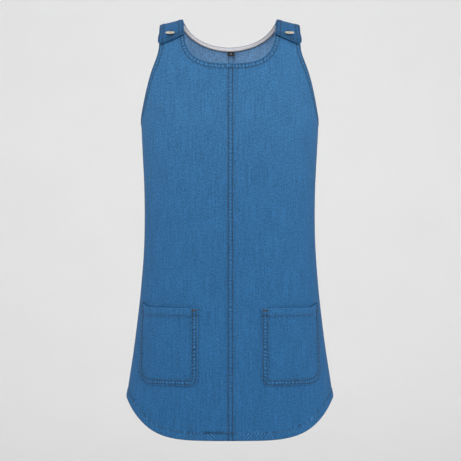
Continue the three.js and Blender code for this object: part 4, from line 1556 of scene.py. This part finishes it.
class SMOCK_OT_pockets(bpy.types.Operator):
    """Sews the two patch pockets"""

    bl_idname = "smock.pockets"
    bl_label = "Pockets"

    def execute(self, context):
        form = form_of_smock()
        shape = self.outline()
        mouth, kink, outer = shape["mouth"]
        points = flat(FRONT, shape["line"])
        bottom, top = points[:, 1].max(), flat(FRONT, [mouth])[0, 1]
        s_low = points[:, 0].min()
        s_high = flat(FRONT, [outer])[0, 0]

        def fullness(at):
            across = np.clip((at[:, 0] - s_low) / (s_high - s_low), 0, 1)
            up = np.clip((bottom - at[:, 1]) / (bottom - top), 0, 1.2)
            return POCKET_FULLNESS * np.sin(math.pi * across) ** 0.8 * up**0.9

        edge_line = flat(FRONT, shape["edge"])[::-1]
        mouth_line = flat(FRONT, [mouth, kink, outer])
        for name, side in SIDES:
            edges = [
                Edge(edge_line, POCKET_ROWS, 0.0118, 0.0005, POCKET_ROWS, 0.15, size=1.15),
                Edge(
                    mouth_line, (POCKET_MOUTH_ROW,), 0.0155, 0.0005, (0.004, 0.013), 0.3, size=0.3
                ),
            ]
            cloth = Cloth(form, points, side, lambda at: layer() + fullness(at), edges)
            piece = cut_out(f"cloth_pocket_{name}", cloth)
            finish_piece(piece, "smock", [f"pocket_patch_{name}"])
            rows = rows_beside(cloth, trimmed(edge_line, 0.003, 0.003), POCKET_ROWS)
            rows += rows_beside(cloth, trimmed(mouth_line, 0.004, 0.0045), (POCKET_MOUTH_ROW,))
            seams = sew(f"stitches_pocket_{name}", rows, finish_of("thread"))
            finish_piece(seams, "smock")
            ends = [(mouth[0] + x, mouth[1]) for x in (TACK_START, TACK_END)]
            tack = beside(flat(FRONT, ends), 0.0035)
            block = sew(
                f"tack_pocket_{name}",
                [(cloth, tack), (cloth, tack + [0, 0.0003])],
                finish_of("tack"),
                pitch=TACK_PITCH,
                radius=FINE_THREAD,
                across_by=TACK_STITCH,
            )
            finish_piece(block, "smock", [f"pocket_bar_tack_{name}"])
            declare(piece, cloth, [f"cloth_front_{name}"], with_pieces=[seams, block])
            ends = [(mouth[0] + 0.012, mouth[1]), (kink[0] - 0.004, kink[1])]
            strip_line = resample(flat(FRONT, ends), 0.003)
            turned = Cloth(form, band_outline(strip_line, 0.0008, 0.0148), side, fullness, edges)
            inner = strip(f"turned_pocket_{name}", turned, [f"pocket_hem_{name}"])
            declare_strip(line_length(strip_line), POCKET_TURN)
        return {"FINISHED"}

    def outline(self):
        """The pocket seen from the front: its whole line, its mouth and its sewn edge."""
        low, high = POCKET_LOW, POCKET_HIGH
        mouth = (low.x, high.z - POCKET_MOUTH_DROP)
        outer = (high.x - POCKET_OUTER_TRIM, high.z)
        kink = (outer[0] - POCKET_KINK_INSET, mouth[1])
        near, far = POCKET_INNER_CORNER, POCKET_OUTER_CORNER

        def corner(start, middle, end):
            t = np.linspace(0, 1, 12)[:, None]
            a, b, c = (np.array(p) for p in (start, middle, end))
            return (1 - t) ** 2 * a + 2 * (1 - t) * t * b + t**2 * c

        inner_corner = corner((low.x, low.z + near), (low.x, low.z), (low.x + near, low.z))
        outer_corner = corner((high.x - far, low.z), (high.x, low.z), (high.x, low.z + far))
        edge = np.vstack([[mouth], inner_corner, outer_corner, [outer]])
        return {"mouth": (mouth, kink, outer), "edge": edge, "line": np.vstack([edge, [kink]])}


BUTTON_LEAN = 15  # degrees that the button's face leans forward
HOLE_REACH = 0.0019  # from the button's middle to each of its holes
HOLE_RADIUS = 0.00085
BUTTON_THICKNESS = 0.0024
RIM_WIDTH = 0.0019
CORE_RADIUS = 0.00105  # of the wound thread under the button
WIND_RADIUS = 0.00108
WIND_THREAD = 0.00036
WINDS = 7
STAY_HALF = (0.012, 0.0088)  # half of the stay's two sides
BUTTONHOLE_PITCH = 0.00065
BUTTONHOLE_STITCH = 0.0021


class SMOCK_OT_buttons(bpy.types.Operator):
    """Turns the buttons and sews them on, with their stays and buttonholes"""

    bl_idname = "smock.buttons"
    bl_label = "Buttons and buttonholes"

    def execute(self, context):
        for name, side in SIDES:
            self.button(name)
            self.shank(name)
            self.stay(name, side)
            self.hole(name, side)
        return {"FINISHED"}

    def placed(self, piece, middle, axis):
        turn = Vector((0, 0, 1)).rotation_difference(axis).to_matrix().to_4x4()
        piece.data.transform(Matrix.Translation(middle) @ turn)

    def button(self, name):
        """A four-hole button with a rolled rim and a dished face."""
        low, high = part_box(f"button_{name}")
        middle = (low + high) / 2
        lean = math.radians(BUTTON_LEAN)
        axis = Vector((0, -math.sin(lean), math.cos(lean)))
        radius = (high.x - low.x) / 2
        bpy.ops.object.select_all(action="DESELECT")
        bpy.ops.mesh.primitive_cylinder_add(vertices=56, radius=radius, depth=BUTTON_THICKNESS)
        button = bpy.context.object
        button.name = f"button_round_{name}"
        bpy.ops.object.mode_set(mode="EDIT")
        bpy.ops.mesh.select_mode(type="FACE")
        work = bmesh.from_edit_mesh(button.data)
        for face in work.faces:
            face.select = face.normal.z > 0.9
        bmesh.update_edit_mesh(button.data)
        bpy.ops.mesh.inset(thickness=RIM_WIDTH)
        bpy.ops.mesh.inset(thickness=0.0007, depth=-0.0007)
        bpy.ops.mesh.inset(thickness=0.0030, depth=-0.0002)
        bpy.ops.object.mode_set(mode="OBJECT")
        bevel = button.modifiers.new("Rounded rim", "BEVEL")
        bevel.width = 0.0006
        bevel.segments = 3
        bevel.limit_method = "ANGLE"
        bevel.angle_limit = math.radians(50)
        bpy.ops.object.modifier_apply(modifier=bevel.name)
        for i in range(4):
            angle = math.pi / 4 + i * math.pi / 2
            place = (HOLE_REACH * math.cos(angle), HOLE_REACH * math.sin(angle), 0)
            bpy.ops.mesh.primitive_cylinder_add(
                vertices=20, radius=HOLE_RADIUS, depth=0.02, location=place
            )
            drill = bpy.context.object
            hole = button.modifiers.new("Hole", "BOOLEAN")
            hole.operation = "DIFFERENCE"
            hole.solver = "EXACT"
            hole.object = drill
            only(button)
            bpy.ops.object.modifier_apply(modifier=hole.name)
            bpy.data.objects.remove(drill, do_unlink=True)
        bpy.ops.object.shade_smooth_by_angle(angle=0.6)
        self.placed(button, middle, axis)
        button.data.materials.append(finish_of("button"))
        finish_piece(button, f"button_{name}_body", [f"button_{name}"])
        self.cross(name, middle, axis)

    def cross(self, name, middle, axis):
        """The thread that crosses the button's four holes."""
        template, faces = stitch_shape(0.0046, 0.0004)
        points, all_faces = [], []
        for i in range(4):
            angle = math.pi / 4 + math.pi / 2 * (i // 2)
            turn = Matrix.Rotation(angle, 3, "Z")
            aside = 0.0003 if i % 2 else -0.0003
            first = len(points)
            for along, across, up in template:
                lift = 0.0004 + 0.0004 * (i // 2)
                points.append(turn @ Vector((along, across + aside, up + lift)))
            all_faces += [tuple(first + k for k in face) for face in faces]
        piece = smooth_piece(
            f"thread_button_{name}", [p[:] for p in points], all_faces, finish_of("thread")
        )
        self.placed(piece, middle, axis)
        finish_piece(piece, f"button_{name}_body")

    def shank(self, name):
        """The wound thread between the front and the button."""
        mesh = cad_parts[f"button_shank_{name}"].data
        co = np.array([v.co for v in mesh.vertices], float)
        middle = co.mean(0)
        way = np.linalg.svd(co - middle)[2][0]
        ends = (co - middle) @ way
        way = Vector(way) if way[2] > 0 else -Vector(way)
        long = float(ends.max() - ends.min())
        bpy.ops.object.select_all(action="DESELECT")
        bpy.ops.mesh.primitive_cylinder_add(vertices=20, radius=CORE_RADIUS, depth=long)
        core = bpy.context.object
        rings = [core]
        for i in range(WINDS):
            height = (i - (WINDS - 1) / 2) * long / WINDS
            bpy.ops.mesh.primitive_torus_add(
                major_radius=WIND_RADIUS,
                minor_radius=WIND_THREAD,
                major_segments=20,
                minor_segments=8,
                location=(0, 0, height),
                rotation=(0.12, 0, i),
            )
            ring = bpy.context.object
            bpy.ops.object.transform_apply(location=True, rotation=True, scale=True)
            rings.append(ring)
        bpy.ops.object.select_all(action="DESELECT")
        for ring in rings:
            ring.select_set(True)
        bpy.context.view_layer.objects.active = core
        bpy.ops.object.join()
        core.name = f"shank_wound_{name}"
        bpy.ops.object.shade_smooth_by_angle(angle=0.8)
        self.placed(core, Vector(middle), way)
        core.data.materials.append(finish_of("thread"))
        finish_piece(core, "smock", [f"button_shank_{name}"])

    def stay(self, name, side):
        """The square of cloth behind the front that holds the button's thread."""
        seat = button_seat(side)
        corners = np.array([(-1, -1), (1, -1), (1, 1), (-1, 1)]) * STAY_HALF
        outline = even_ring(corners, 0.002) + seat
        cloth = Cloth(form_of_smock(), outline, side, beneath(FRONT, layer()))
        piece = strip(f"stay_button_{name}", cloth, [f"button_stay_{name}"])
        long, wide = (2 * half for half in STAY_HALF)
        declare_strip(long, wide)

    def hole(self, name, side):
        """Close stitches round the buttonhole's slit."""
        ring = closed(beside_closed(slit_outline(side), 0.0009))
        worked = sew(
            f"buttonhole_worked_{name}",
            [(made_before(CLOTHS, f"back_{name}"), ring)],
            finish_of("hole_thread"),
            pitch=BUTTONHOLE_PITCH,
            radius=FINE_THREAD,
            across_by=BUTTONHOLE_STITCH,
        )
        finish_piece(worked, f"strap_{name}", [f"buttonhole_{name}"])


# ------------------------------------------------------------- stage: camera and light


def area_light(name, place, target, size, power):
    data = bpy.data.lights.new(name, "AREA")
    data.shape = "RECTANGLE"
    data.size, data.size_y = size
    data.energy = power
    light = bpy.data.objects.new(name, data)
    light.location = place
    light.rotation_euler = (Vector(target) - Vector(place)).to_track_quat("-Z", "Y").to_euler()
    bpy.context.scene.collection.objects.link(light)


SOFTBOXES = (  # name, place, width and height, power
    ("Key softbox", (-0.9, -3.0, 2.0), (2.6, 2.0), 96),
    ("Fill softbox", (1.7, -3.0, -0.1), (2.4, 2.4), 58),
    ("Top softbox", (0, 0.2, 2.6), (2.6, 2.6), 36),
    ("Left side softbox", (-2.6, -1.0, 0.0), (1.6, 2.6), 50),
    ("Right side softbox", (2.6, -1.0, 0.0), (1.6, 2.6), 50),
)
BEND_RADIUS = 1.2  # of the backdrop, from floor to wall
BEND_STEPS = 10


class SMOCK_OT_stage(bpy.types.Operator):
    """Sets the camera, the pale floor with its backdrop, and the soft light"""

    bl_idname = "smock.stage"
    bl_label = "Stage"

    def execute(self, context):
        stage = context.scene.smock_stage
        data = bpy.data.cameras.new("Camera")
        data.sensor_width = 36.0
        data.lens = 36.0 * stage.distance / stage.view_width
        data.clip_end = 60
        camera = bpy.data.objects.new("Camera", data)
        camera.location = (0.0015, -stage.distance, stage.view_height)
        camera.rotation_euler = Euler((math.pi / 2, 0, 0))
        context.scene.collection.objects.link(camera)
        context.scene.camera = camera
        self.backdrop(stage)
        middle = (0, 0, stage.view_height)
        for name, place, size, power in SOFTBOXES:
            area_light(name, place, middle, size, power)
        world = bpy.data.worlds.new("Studio")
        world.use_nodes = True
        sky = world.node_tree.nodes["Background"]
        sky.inputs["Color"].default_value = (0.92, 0.96, 1.0, 1)
        sky.inputs["Strength"].default_value = 1.0
        context.scene.world = world
        context.scene.view_settings.view_transform = "Standard"
        context.scene.view_settings.look = "None"
        return {"FINISHED"}

    def backdrop(self, stage):
        """A floor that curves up into a wall behind the smock."""
        bpy.ops.object.select_all(action="DESELECT")
        bpy.ops.mesh.primitive_plane_add(size=1, location=(0, 0, stage.floor))
        floor = bpy.context.object
        floor.name = "Backdrop"
        floor.scale = (16, 11, 1)
        floor.location.y = -3.0
        bpy.ops.object.transform_apply(location=True, rotation=True, scale=True)
        bpy.ops.object.mode_set(mode="EDIT")
        work = bmesh.from_edit_mesh(floor.data)
        for edge in work.edges:
            edge.select = all(v.co.y > 2.4 for v in edge.verts)
        bmesh.update_edit_mesh(floor.data)
        step = BEND_RADIUS * math.pi / 2 / BEND_STEPS
        for i in range(BEND_STEPS):
            turn = math.pi / 2 * (i + 0.5) / BEND_STEPS
            move = (0, step * math.cos(turn), step * math.sin(turn))
            bpy.ops.mesh.extrude_region_move(TRANSFORM_OT_translate={"value": move})
        bpy.ops.mesh.extrude_region_move(TRANSFORM_OT_translate={"value": (0, 0, 7)})
        bpy.ops.object.mode_set(mode="OBJECT")
        bpy.ops.object.shade_smooth()
        material, n, shader = new_material("Backdrop paper")
        place = n.add("ShaderNodeTexCoord")
        value = n.spread(n.noise(place.outputs["Object"], 3.0, 2.0), 0.3, 0.7, 0.99, 1.01)
        n.link(n.brightness(rgba(stage.backdrop), value), shader.inputs["Base Color"])
        shader.inputs["Roughness"].default_value = 0.95
        shader.inputs["Specular IOR Level"].default_value = 0.0
        floor.data.materials.append(material)


# ---------------------------------------------------------------------------- the panel

OPERATORS = [
    SMOCK_OT_stage,
    SMOCK_OT_front,
    SMOCK_OT_back,
    SMOCK_OT_linings,
    SMOCK_OT_seams,
    SMOCK_OT_neck_tape,
    SMOCK_OT_pockets,
    SMOCK_OT_buttons,
]
GROUPS_OF_SIZES = {
    "smock_cut": SmockCut,
    "smock_thread": SmockThread,
    "smock_colours": SmockColours,
    "smock_stage": SmockStage,
}


class SMOCK_PT_panel(bpy.types.Panel):
    """Lists the steps that sew the smock"""

    bl_idname = "SMOCK_PT_panel"
    bl_label = "Artist's smock"
    bl_space_type = "VIEW_3D"
    bl_region_type = "UI"
    bl_category = "Smock"

    def draw(self, context):
        for operator in OPERATORS:
            self.layout.operator(operator.bl_idname)
        for group in GROUPS_OF_SIZES:
            box = self.layout.box()
            settings = getattr(context.scene, group)
            for key in settings.__annotations__:
                box.prop(settings, key)


def register():
    for cls in [*GROUPS_OF_SIZES.values(), *OPERATORS, SMOCK_PT_panel]:
        bpy.utils.register_class(cls)
    for name, cls in GROUPS_OF_SIZES.items():
        setattr(bpy.types.Scene, name, PointerProperty(type=cls))


def unregister():
    for name in GROUPS_OF_SIZES:
        delattr(bpy.types.Scene, name)
    for cls in reversed([*GROUPS_OF_SIZES.values(), *OPERATORS, SMOCK_PT_panel]):
        bpy.utils.unregister_class(cls)


def main():
    register()
    for operator in OPERATORS:
        group, name = operator.bl_idname.split(".")
        getattr(getattr(bpy.ops, group), name)()


if __name__ == "__main__":
    main()
